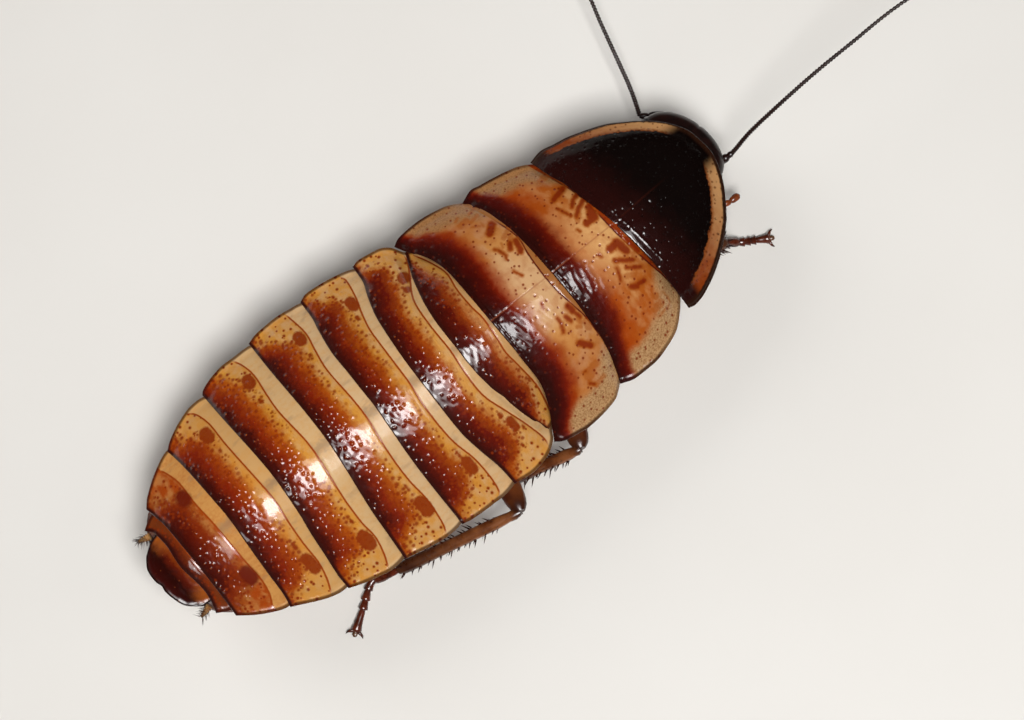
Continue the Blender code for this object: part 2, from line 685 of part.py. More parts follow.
def tail_feelers(shop):
    """The cerci, two short tapering tail feelers beside the last plate."""
    hem = HEMS["tergite_8"]
    for side, word in ((1.0, "left"), (-1.0, "right")):
        root = Vector((hem.x + side * 2.93, hem.y + 0.30, SKIRT + 0.30))
        tip = root + Vector((side * 0.15, 0.90, -0.05))
        path = [root.lerp(tip, t) for t in (0.0, 0.2, 0.32, 0.5, 0.62, 0.8, 1.0)]
        shop.add(f"{word}_cercus", tube(path, (0.24, 0.29, 0.25, 0.27, 0.22, 0.20, 0.08), 8), "leg", root)


def set_over_origin(shop):
    """Moves the carrier so that the middle of the whole lies over the world's origin."""
    bpy.context.view_layer.update()
    corners = [
        item.matrix_world @ vert.co
        for item in shop.collection.objects
        if item.type == "MESH"
        for vert in item.data.vertices
    ]
    lows = [min(corner[i] for corner in corners) for i in range(3)]
    highs = [max(corner[i] for corner in corners) for i in range(3)]
    shop.carrier.location = (-(lows[0] + highs[0]) / 2.0, -(lows[1] + highs[1]) / 2.0, 0.0)


def main():
    clear_scene()
    shop = Workshop()
    shield(shop)
    back_plate(shop, "mesonotum", "chest")
    back_plate(shop, "metanotum", "chest")
    for number in range(1, 8):
        back_plate(shop, f"tergite_{number}", "banded", rows=4)
    back_plate(shop, "tergite_8", "banded", stations=15, rows=3)
    end_plate(shop)
    belly(shop)
    head(shop)
    mouth_palps(shop)
    feeler(shop, "right", RIGHT_SOCKET, RIGHT_FEELER)
    feeler(shop, "left", LEFT_SOCKET, LEFT_FEELER)
    tail_feelers(shop)
    for name, plan in LEGS.items():
        leg(shop, name, plan)
    set_over_origin(shop)


main()
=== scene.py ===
"""Looks of a dwarf hissing cockroach, an adult female as a still museum model in life size.

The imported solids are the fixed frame, and every visible piece is modelled over them. Lengths are
millimetres in the animal's own plan until a mesh is made: X to its left, Y to its tail, Z up and
the floor at zero. Stand moves that plan over the frame's origin.
"""

import logging
import math
from dataclasses import dataclass
from enum import Enum
from typing import Callable, Iterable, Sequence

import bmesh
import bpy
import numpy as np
from mathutils import Matrix, Vector

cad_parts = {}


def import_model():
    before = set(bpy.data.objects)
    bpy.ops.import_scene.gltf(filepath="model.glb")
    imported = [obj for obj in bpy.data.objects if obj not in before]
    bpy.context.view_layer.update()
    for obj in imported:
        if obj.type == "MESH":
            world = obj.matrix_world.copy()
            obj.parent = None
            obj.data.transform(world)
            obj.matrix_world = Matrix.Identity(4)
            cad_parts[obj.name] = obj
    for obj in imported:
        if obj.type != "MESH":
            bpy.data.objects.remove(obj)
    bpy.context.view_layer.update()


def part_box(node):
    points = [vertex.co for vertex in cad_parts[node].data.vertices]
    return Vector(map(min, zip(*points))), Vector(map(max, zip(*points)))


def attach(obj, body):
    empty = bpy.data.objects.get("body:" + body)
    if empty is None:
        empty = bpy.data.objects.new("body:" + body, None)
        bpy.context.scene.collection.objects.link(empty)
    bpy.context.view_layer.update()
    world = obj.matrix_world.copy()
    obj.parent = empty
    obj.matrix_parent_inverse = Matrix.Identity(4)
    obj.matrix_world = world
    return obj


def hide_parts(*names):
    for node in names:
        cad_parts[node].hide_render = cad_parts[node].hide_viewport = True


log = logging.getLogger("cockroach")

MM = 0.001
SKIRT = 4.65  # level at which the back plates end
SHOULDER = 5.25  # level at which their sides turn down
BELLY_TOP = 4.62
LIP = 0.13  # thickness of a back plate's rear edge
STEP_DOWN = 0.16  # how much lower a plate's front lies than the rear edge over it
SIDE_OUT = 0.09  # how far a side stands out where it rolls under
FINE = 0.049  # side of the finest faces of the back
UP = Vector((0.0, 0.0, 1.0))
HEAD_MIDDLE = Vector((0.13, -20.12, 0.0))
HEAD_TURN = Matrix.Rotation(math.radians(11.0), 4, "Z")  # the head looks a little to the animal's left
EYE = (2.72, -0.35, 3.6)  # middle of the solid left eye in the head's own frame

Points = tuple[tuple[float, float], ...]
Colour = tuple[float, float, float]
Painted = tuple[object, ...]  # fields for colour, roughness, height and coat


class Slot(Enum):
    """The record's material slots."""

    SHIELD = "shield_black"
    CHEST = "chest_amber"
    BACK = "back_chestnut"
    BELLY = "belly_brown"
    HEAD = "head_black"
    EYE = "eye_black"
    LEG = "leg_brown"
    FEELER = "feeler_brown"


class Side(Enum):
    """The two sides of the animal, with the sign of X on each."""

    LEFT = 1.0
    RIGHT = -1.0

    @property
    def word(self) -> str:
        """Name as it stands in the nodes."""
        return self.name.lower()


# ---- plan and lines


@dataclass
class Stand:
    """Where the animal's own plan lies over the frame's origin."""

    shift: Vector

    @classmethod
    def from_frame(cls) -> "Stand":
        """Reads the shift from a node whose middle is known in the plan.

        Returns:
            The stand for the loaded frame.
        """
        low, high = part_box("left_eye")
        middle = (low + high) / 2.0 / MM
        known = head_point(*EYE)
        return cls(Vector((middle.x - known.x, middle.y - known.y, 0.0)))

    def world(self, places: np.ndarray) -> np.ndarray:
        """Moves plan points in millimetres into the frame, in metres."""
        return (places + np.array(self.shift)) * MM


def head_point(side: float, ahead: float, height: float) -> Vector:
    """Point in the head's own frame.

    Args:
        side: millimetres to the head's left.
        ahead: millimetres to its front.
        height: millimetres over the floor.

    Returns:
        The point in the plan.
    """
    return HEAD_MIDDLE + HEAD_TURN @ Vector((side, -ahead, height))


def smooth_line(points: Sequence[Sequence[float]], steps: int = 14) -> np.ndarray:
    """Dense points on a smooth line through the given ones.

    Args:
        points: the line's traced points, of two or three coordinates.
        steps: how many points each stretch gets.

    Returns:
        The dense line, one row a point.
    """
    spots = np.array(points, float)
    spots = np.vstack([2.0 * spots[0] - spots[1], spots, 2.0 * spots[-1] - spots[-2]])
    t = (np.arange(steps) / steps)[:, None]
    found = []
    for p0, p1, p2, p3 in zip(spots, spots[1:], spots[2:], spots[3:]):
        bend = 2.0 * p0 - 5.0 * p1 + 4.0 * p2 - p3
        found.append(0.5 * (2.0 * p1 + (p2 - p0) * t + bend * t**2 + (3.0 * p1 - p0 - 3.0 * p2 + p3) * t**3))
    return np.vstack([*found, spots[-2][None]])


def walk(line: np.ndarray, share: np.ndarray) -> np.ndarray:
    """Points at shares of a dense line's length."""
    length = np.concatenate([[0.0], np.cumsum(np.linalg.norm(np.diff(line, axis=0), axis=1))])
    return np.stack([np.interp(share * length[-1], length, line[:, i]) for i in range(line.shape[1])], 1)


def gap_to(places: np.ndarray, line: np.ndarray) -> np.ndarray:
    """Distance of each plan point from a dense line."""
    a, b = line[:-1], line[1:]
    along = b - a
    reach = np.maximum((along**2).sum(1), 1e-12)
    found = np.full(len(places), 1e9)
    for start in range(0, len(places), 20000):
        p = places[start : start + 20000, None, :2]
        t = np.clip(((p - a) * along).sum(2) / reach, 0.0, 1.0)
        d = np.linalg.norm(p - (a + along * t[..., None]), axis=2)
        found[start : start + 20000] = d.min(1)
    return found


def behind(places: np.ndarray, line: np.ndarray) -> np.ndarray:
    """Distance from a crosswise line, positive towards the tail.

    Args:
        places: plan points.
        line: dense line that runs across the body.

    Returns:
        Signed distances in millimetres.
    """
    order = np.argsort(line[:, 0])
    level = np.interp(places[:, 0], line[order, 0], line[order, 1])
    return np.where(places[:, 1] > level, 1.0, -1.0) * gap_to(places, line)


def ripple(places: np.ndarray, size: float, seed: int, waves: int = 14) -> np.ndarray:
    """Smooth random swell from -1 to 1 over plan points.

    Args:
        places: plan points.
        size: rough width of one swell.
        seed: seed of its random waves.
        waves: how many waves it sums.

    Returns:
        One value for each point.
    """
    chance = np.random.default_rng(seed)
    total = np.zeros(len(places))
    for _ in range(waves):
        angle, phase = chance.uniform(0.0, 2.0 * math.pi, 2)
        pace = chance.uniform(0.6, 1.5) * math.pi / size
        total += np.sin((places[:, 0] * math.cos(angle) + places[:, 1] * math.sin(angle)) * pace + phase)
    return np.clip(total / math.sqrt(waves) / 1.5, -1.0, 1.0)


def ease(value: np.ndarray, low: float, high: float) -> np.ndarray:
    """Smooth step from 0 at low to 1 at high."""
    t = np.clip((value - low) / (high - low), 0.0, 1.0)
    return t * t * (3.0 - 2.0 * t)


def bell(value: np.ndarray, middle: float, width: float) -> np.ndarray:
    """Bell curve, 1 in the middle."""
    return np.exp(-(((value - middle) / width) ** 2))


def arch(share: np.ndarray) -> np.ndarray:
    """Height of the back's cross-section, from 1 at the ridge to 0 at the side."""
    share = np.minimum(np.abs(share), 1.0)
    return 0.65 * (1.0 - share**2) + 0.35 * (1.0 + np.cos(math.pi * share)) / 2.0


# ---- finishes


def tone(red: int, green: int, blue: int) -> Colour:
    """Linear colour of a screen colour given from 0 to 255."""
    parts = (part / 255 for part in (red, green, blue))
    return tuple(part / 12.92 if part < 0.0405 else ((part + 0.055) / 1.055) ** 2.4 for part in parts)


class Field:
    """Value that changes over a surface: a node's output that takes Python's own arithmetic."""

    def __init__(self, board: "Board", socket: bpy.types.NodeSocket) -> None:
        """Keeps the output and the board that it stands on."""
        self.board, self.socket = board, socket

    def __add__(self, other: object) -> "Field":
        """Sum."""
        return self.board.math("ADD", self, other)

    def __sub__(self, other: object) -> "Field":
        """Difference."""
        return self.board.math("SUBTRACT", self, other)

    def __rsub__(self, other: object) -> "Field":
        """Difference from a number."""
        return self.board.math("SUBTRACT", other, self)

    def __mul__(self, other: object) -> "Field":
        """Product."""
        return self.board.math("MULTIPLY", self, other)

    def __truediv__(self, other: object) -> "Field":
        """Quotient."""
        return self.board.math("DIVIDE", self, other)

    def __rtruediv__(self, other: object) -> "Field":
        """Quotient of a number and this."""
        return self.board.math("DIVIDE", other, self)

    def __abs__(self) -> "Field":
        """Value without its sign."""
        return self.board.math("ABSOLUTE", self)

    __rmul__ = __mul__

    def step(self, low: float, high: float) -> "Field":
        """Smooth step from 0 at low to 1 at high, or falling where high is the smaller."""
        made = self.board.node("ShaderNodeMapRange", interpolation_type="SMOOTHSTEP")
        falling = float(high < low)
        values = (self, min(low, high), max(low, high), falling, 1.0 - falling)
        for socket, value in zip(made.inputs, values):
            self.board.feed(socket, value)
        return self.board.out(made)


class Board:
    """Node tree of one material or group, with short calls for the nodes that the finishes use."""

    def __init__(self, tree: bpy.types.NodeTree) -> None:
        """Takes the tree that it adds to."""
        self.tree = tree

    def node(self, kind: str, **settings: object) -> bpy.types.Node:
        """New node of a kind, with its settings."""
        made = self.tree.nodes.new(kind)
        for name, value in settings.items():
            setattr(made, name, value)
        return made

    def out(self, node: bpy.types.Node, socket: int | str = 0) -> Field:
        """Output of a node, the first where none is named."""
        return Field(self, node.outputs[socket])

    def feed(self, socket: bpy.types.NodeSocket, value: object) -> None:
        """Links a socket to a field, or sets its value."""
        if isinstance(value, Field):
            self.tree.links.new(value.socket, socket)
        elif isinstance(value, tuple) and socket.type == "RGBA":
            socket.default_value = (*value, 1.0)
        else:
            socket.default_value = value

    def wired(self, node: bpy.types.Node, **values: object) -> Field:
        """First output of a node whose inputs take the values of their names."""
        for name, value in values.items():
            self.feed(node.inputs[name], value)
        return self.out(node)

    def math(self, operation: str, *values: object, clamp: bool = False) -> Field:
        """Result of a Math node."""
        made = self.node("ShaderNodeMath", operation=operation, use_clamp=clamp)
        for socket, value in zip(made.inputs, values):
            self.feed(socket, value)
        return self.out(made)

    def mix(self, factor: object, first: object, second: object) -> Field:
        """Colour that goes from the first to the second as the factor rises."""
        made = self.node("ShaderNodeMix", data_type="RGBA")
        for socket, value in ((0, factor), (6, first), (7, second)):
            self.feed(made.inputs[socket], value)
        return self.out(made, 2)

    def ramp(self, factor: object, stops: Sequence[tuple[float, Colour]]) -> Field:
        """Colour from a ramp of stops."""
        made = self.node("ShaderNodeValToRGB")
        self.feed(made.inputs[0], factor)
        elements = made.color_ramp.elements
        elements[0].position, elements[1].position = stops[0][0], stops[-1][0]
        elements[0].color, elements[1].color = (*stops[0][1], 1.0), (*stops[-1][1], 1.0)
        for place, colour in stops[1:-1]:
            elements.new(place).color = (*colour, 1.0)
        return self.out(made)

    def attribute(self, name: str) -> Field:
        """Value of a piece's own attribute."""
        return self.out(self.node("ShaderNodeAttribute", attribute_name=name), "Fac")

    def attributes(self, *names: str) -> list[Field]:
        """Values of several of a piece's own attributes."""
        return [self.attribute(name) for name in names]

    def place(self, *scale: float) -> Field:
        """Object coordinates in millimetres, stretched by a scale where one is given."""
        source = self.out(self.node("ShaderNodeTexCoord"), "Object")
        stretch = Vector(scale or (1.0, 1.0, 1.0)) / MM
        return self.wired(self.node("ShaderNodeMapping"), Vector=source, Scale=stretch)

    def noise(self, vector: Field, scale: float, detail: float = 3.0) -> Field:
        """Noise from 0 to 1."""
        return self.wired(self.node("ShaderNodeTexNoise"), Vector=vector, Scale=scale, Detail=detail)

    def cells(self, vector: Field, scale: float, space: str = "3D") -> bpy.types.Node:
        """Voronoi node whose distance makes dots."""
        node = self.node("ShaderNodeTexVoronoi", voronoi_dimensions=space)
        self.wired(node, Vector=vector, Scale=scale)
        return node

    def group(self, tree: bpy.types.NodeTree, **values: float) -> Field:
        """Shared effect placed here with its own values."""
        return self.wired(self.node("ShaderNodeGroup", node_tree=tree), **values)


def new_group(name: str, output: str, values: dict[str, float], paint: Callable) -> bpy.types.NodeTree:
    """Shared effect with named values in and one mask or height out.

    Args:
        name: the group's name.
        output: name of its output.
        values: its inputs, with their usual values.
        paint: gives the output's field for the board and the fields of the inputs, by name.

    Returns:
        The group.
    """
    tree = bpy.data.node_groups.new(name, "ShaderNodeTree")
    for title, value in values.items():
        tree.interface.new_socket(title, in_out="INPUT", socket_type="NodeSocketFloat").default_value = value
    tree.interface.new_socket(output, in_out="OUTPUT", socket_type="NodeSocketFloat")
    board = Board(tree)
    source = board.node("NodeGroupInput")
    result = paint(board, {title: board.out(source, title) for title in values})
    board.feed(board.node("NodeGroupOutput").inputs[output], result)
    return tree


class Effects:
    """Shared effects that more than one finish uses, each built once."""

    def __init__(self) -> None:
        """Builds the groups."""
        self.horn = self.relief()
        self.specks = self.scatter("specks", "3D")
        self.dots = self.scatter("dots", "2D")

    @staticmethod
    def stretched(board: Board, given: dict[str, Field]) -> Field:
        """Object coordinates over the group's size, drawn out along the body by its stretch."""
        size = 1.0 / given["Size"]
        ways = board.wired(board.node("ShaderNodeCombineXYZ"), X=size, Y=size / given["Stretch"], Z=size)
        made = board.node("ShaderNodeVectorMath", operation="MULTIPLY")
        board.feed(made.inputs[0], board.place())
        board.feed(made.inputs[1], ways)
        return board.out(made)

    def relief(self) -> bpy.types.NodeTree:
        """Fine leathery relief of horn, as a height."""

        def paint(board: Board, given: dict[str, Field]) -> Field:
            """Wrinkles and grain."""
            place = self.stretched(board, given)
            return board.noise(place, 2.6, 4.0) * given["Wrinkle"] + board.noise(place, 14.0) * given["Grain"]

        return new_group("horn_relief", "Height", {"Size": 1.0, "Stretch": 1.0, "Wrinkle": 0.6, "Grain": 0.4}, paint)

    def scatter(self, name: str, space: str) -> bpy.types.NodeTree:
        """Scattered round specks of uneven size as a mask, in all directions or, in 2D, as seen from above."""

        def paint(board: Board, given: dict[str, Field]) -> Field:
            """A speck in most cells."""
            cells = board.cells(self.stretched(board, given), 1.0, space)
            split = board.node("ShaderNodeSeparateColor")
            board.feed(split.inputs[0], board.out(cells, "Color"))
            width = given["Width"] * (board.out(split, 1) * 0.7 + 0.6)
            near = 1.0 - board.out(cells, "Distance") / width
            return near.step(0.0, 0.75) * board.math("LESS_THAN", board.out(split), given["Share"])

        return new_group(name, "Mask", {"Size": 0.5, "Stretch": 1.0, "Width": 0.3, "Share": 0.6}, paint)


@dataclass(frozen=True)
class Gloss:
    """Shader settings that are the same all over a finish."""

    rough: float = 0.32  # middle roughness of the limbs and the floor; the plates paint their own
    coat: float = 0.8
    coat_rough: float = 0.1
    relief: float = 0.12  # strength of its bump
    depth: float = 0.03  # height of its bump, millimetres
    level: float = 0.12  # gloss of the layer under the coat


class Finish:
    """Material whose colour, roughness, height and coat come from nodes; each finish is one of these."""

    name: str
    gloss: Gloss

    def paint(self, board: Board, effects: Effects | None) -> Painted:
        """Fields of the colour, roughness, height and, where it varies, the coat.

        Args:
            board: the material's board.
            effects: shared effects.

        Returns:
            The three or four fields.
        """
        raise NotImplementedError

    def material(self, effects: Effects | None = None) -> bpy.types.Material:
        """Builds the finish."""
        made = bpy.data.materials.new(self.name)
        made.use_nodes = True
        shader = made.node_tree.nodes["Principled BSDF"]
        board = Board(made.node_tree)
        colour, rough, height, *coat = self.paint(board, effects)
        gloss = self.gloss
        bump = board.node("ShaderNodeBump")
        normal = board.wired(bump, Strength=gloss.relief, Distance=gloss.depth * MM, Height=height)
        values = {
            "Base Color": colour, "Roughness": rough, "Normal": normal, "Coat IOR": 1.42,
            "Coat Weight": coat[0] if coat else gloss.coat, "Coat Roughness": gloss.coat_rough,
            "Specular IOR Level": gloss.level,
        }
        for name, value in values.items():
            board.feed(shader.inputs[name], value)
        return made


# ---- meshes


class Bench:
    """Turns finished bmeshes into pieces on the frame."""

    def __init__(self, stand: Stand, effects: Effects) -> None:
        """Keeps what every piece needs."""
        self.stand = stand
        self.effects = effects

    def piece(
        self,
        name: str,
        shape: bmesh.types.BMesh,
        material: bpy.types.Material,
        slot: Slot,
        stands_for: Iterable[str] = (),
    ) -> None:
        """Makes a named piece from a closed bmesh in plan millimetres, and frees the bmesh.

        Args:
            name: the piece's name.
            shape: its mesh.
            material: its finish.
            slot: the record's slot; not used.
            stands_for: nodes that it replaces.
        """
        bmesh.ops.recalc_face_normals(shape, faces=shape.faces)
        mesh = bpy.data.meshes.new(name)
        shape.to_mesh(mesh)
        shape.free()
        places = np.empty(len(mesh.vertices) * 3)
        mesh.vertices.foreach_get("co", places)
        mesh.vertices.foreach_set("co", self.stand.world(places.reshape(-1, 3)).ravel())
        self.dress(mesh, name, material, slot, stands_for)

    def sheet(
        self,
        name: str,
        mesh: bpy.types.Mesh,
        places: np.ndarray,
        values: dict[str, np.ndarray],
        material: bpy.types.Material,
        slot: Slot,
        stands_for: Iterable[str],
    ) -> None:
        """Makes a named piece from a slab.

        Args:
            name: the piece's name.
            mesh: the slab.
            places: plan places of its vertices, in millimetres.
            values: attributes that its finish reads, one value for each vertex.
            material: its finish.
            slot: the record's slot; not used.
            stands_for: nodes that it replaces.
        """
        mesh.vertices.foreach_set("co", self.stand.world(places).ravel())
        shape = bmesh.new()
        shape.from_mesh(mesh)
        bmesh.ops.recalc_face_normals(shape, faces=shape.faces)
        shape.to_mesh(mesh)
        shape.free()
        mesh.update()
        for title, numbers in values.items():
            made = mesh.attributes.new(title, "FLOAT", "POINT")
            made.data.foreach_set("value", np.asarray(numbers, np.float32))
        self.dress(mesh, name, material, slot, stands_for)

    @staticmethod
    def dress(
        mesh: bpy.types.Mesh, name: str, material: bpy.types.Material, slot: Slot, stands_for: Iterable[str]
    ) -> None:
        """Puts a mesh that is in the frame, in metres, on the one body, with its finish and nodes."""
        mesh.materials.append(material)
        mesh.shade_smooth()
        mesh.set_sharp_from_angle(angle=math.radians(50.0))
        made = bpy.data.objects.new(name, mesh)
        bpy.context.scene.collection.objects.link(made)
        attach(made, "root")
        nodes = list(stands_for)
        if nodes:
            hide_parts(*nodes)
        log.info("%s: %d faces", name, len(mesh.polygons))


def slab(columns: int, rows: int, walls: int = 1) -> tuple[bpy.types.Mesh, np.ndarray, np.ndarray, np.ndarray]:
    """Closed slab made from a grid: its border is drawn out as walls, and the last ring is capped.

    Args:
        columns: faces across.
        rows: faces along.
        walls: how many rings of wall it gets.

    Returns:
        The mesh, and for each vertex its column, its row and its wall ring, 0 on the grid.
    """
    shape = bmesh.new()
    bmesh.ops.create_grid(shape, x_segments=columns, y_segments=rows, size=1.0)
    ring = shape.verts.layers.int.new("ring")
    edges = [edge for edge in shape.edges if edge.is_boundary]
    for number in range(1, walls + 1):
        made = bmesh.ops.extrude_edge_only(shape, edges=edges)["geom"]
        for vert in made:
            if isinstance(vert, bmesh.types.BMVert):
                vert[ring] = number
        edges = [edge for edge in made if isinstance(edge, bmesh.types.BMEdge) and edge.is_boundary]
    bmesh.ops.contextual_create(shape, geom=edges)
    mesh = bpy.data.meshes.new("slab")
    shape.to_mesh(mesh)
    shape.free()
    places = np.empty(len(mesh.vertices) * 3)
    mesh.vertices.foreach_get("co", places)
    places = places.reshape(-1, 3)
    rings = np.empty(len(mesh.vertices), np.int32)
    mesh.attributes["ring"].data.foreach_get("value", rings)
    mesh.attributes.remove(mesh.attributes["ring"])
    column = np.rint((places[:, 0] + 1.0) / 2.0 * columns).astype(int)
    row = np.rint((places[:, 1] + 1.0) / 2.0 * rows).astype(int)
    return mesh, column, row, rings


def ring_frame(axis: Vector) -> Matrix:
    """Turn whose Z lies along an axis, with X level and Y upright."""
    ahead = axis.normalized()
    level = ahead.cross(UP)
    if level.length < 1e-3:
        level = Vector((1.0, 0.0, 0.0))
    level.normalize()
    up = level.cross(ahead).normalized()
    return Matrix((level, up, ahead)).transposed().to_4x4()


def spoke(turn: Matrix, angle: float) -> Vector:
    """Way out from the axis of a turn, at an angle round it."""
    return turn.col[0] * math.cos(angle) + turn.col[1] * math.sin(angle)


def drawn(skin: bmesh.types.BMesh, frames: Sequence[Matrix], sides: int) -> None:
    """Closed skin: a circle is extruded from frame to frame, and both ends are capped.

    Args:
        skin: mesh that it is added to, with the share of the frames in its layer named along.
        frames: place, turn and size of each cross-section.
        sides: corners of a cross-section.
    """
    along = skin.verts.layers.float.get("along") or skin.verts.layers.float.new("along")
    verts = bmesh.ops.create_circle(skin, segments=sides, radius=1.0, matrix=frames[0])["verts"]
    first = edges = list({edge for vert in verts for edge in vert.link_edges})
    for number, (before, frame) in enumerate(zip(frames, frames[1:]), 1):
        made = bmesh.ops.extrude_edge_only(skin, edges=edges)["geom"]
        verts = [item for item in made if isinstance(item, bmesh.types.BMVert)]
        edges = [item for item in made if isinstance(item, bmesh.types.BMEdge) and item.is_boundary]
        edges = [edge for edge in edges if all(vert in verts for vert in edge.verts)]
        bmesh.ops.transform(skin, matrix=frame @ before.inverted(), verts=verts)
        for vert in verts:
            vert[along] = number / (len(frames) - 1)
    bmesh.ops.contextual_create(skin, geom=first)
    bmesh.ops.contextual_create(skin, geom=edges)


def tube(
    path: Sequence[Vector],
    widths: Sequence[float],
    heights: Sequence[float] | None = None,
    sides: int = 12,
    base: bmesh.types.BMesh | None = None,
) -> bmesh.types.BMesh:
    """Closed skin with oval cross-sections along a path.

    Args:
        path: middles of the cross-sections.
        widths: half width of each, level.
        heights: half height of each, upright; the widths where left out.
        sides: corners of a cross-section.
        base: mesh that it is added to.

    Returns:
        The mesh.
    """
    skin = base or bmesh.new()
    frames = []
    for i, (centre, wide, high) in enumerate(zip(path, widths, heights or widths)):
        axis = path[min(i + 1, len(path) - 1)] - path[max(i - 1, 0)]
        frames.append(Matrix.Translation(centre) @ ring_frame(axis) @ Matrix.Diagonal((wide, high, 1.0, 1.0)))
    drawn(skin, frames, sides)
    return skin


def ball(base: bmesh.types.BMesh, centre: Vector, radii: Sequence[float], turn: Matrix, fine: int) -> list:
    """Adds an egg-shaped ball to a mesh.

    Args:
        base: mesh that it is added to.
        centre: its middle.
        radii: half its size along each of its own axes.
        turn: its turn, 4 by 4.
        fine: segments round it.

    Returns:
        Its vertices.
    """
    place = Matrix.Translation(centre) @ turn @ Matrix.Diagonal((*radii, 1.0))
    rings = max(4, fine * 2 // 3)
    return bmesh.ops.create_uvsphere(base, u_segments=fine, v_segments=rings, radius=1.0, matrix=place)["verts"]


def thorn(base: bmesh.types.BMesh, root: Vector, lean: Vector, length: float, radius: float, sides: int = 6) -> None:
    """Adds a slim spine that bends a little towards its tip."""
    ahead = lean.normalized()
    droop = Vector((0.0, 0.0, -0.1)) * length
    shares = (0.0, 0.35, 0.7, 1.0)
    path = [root + ahead * length * share + droop * share**2 for share in shares]
    tube(path, [radius * width for width in (1.0, 0.82, 0.48, 0.06)], sides=sides, base=base)


# ---- traced lines of the back, left to right across and front to rear along


@dataclass(frozen=True)
class Outline:
    """Traced plan of one back plate."""

    rear: Points
    left: Points
    right: Points
    suture: Points = ()


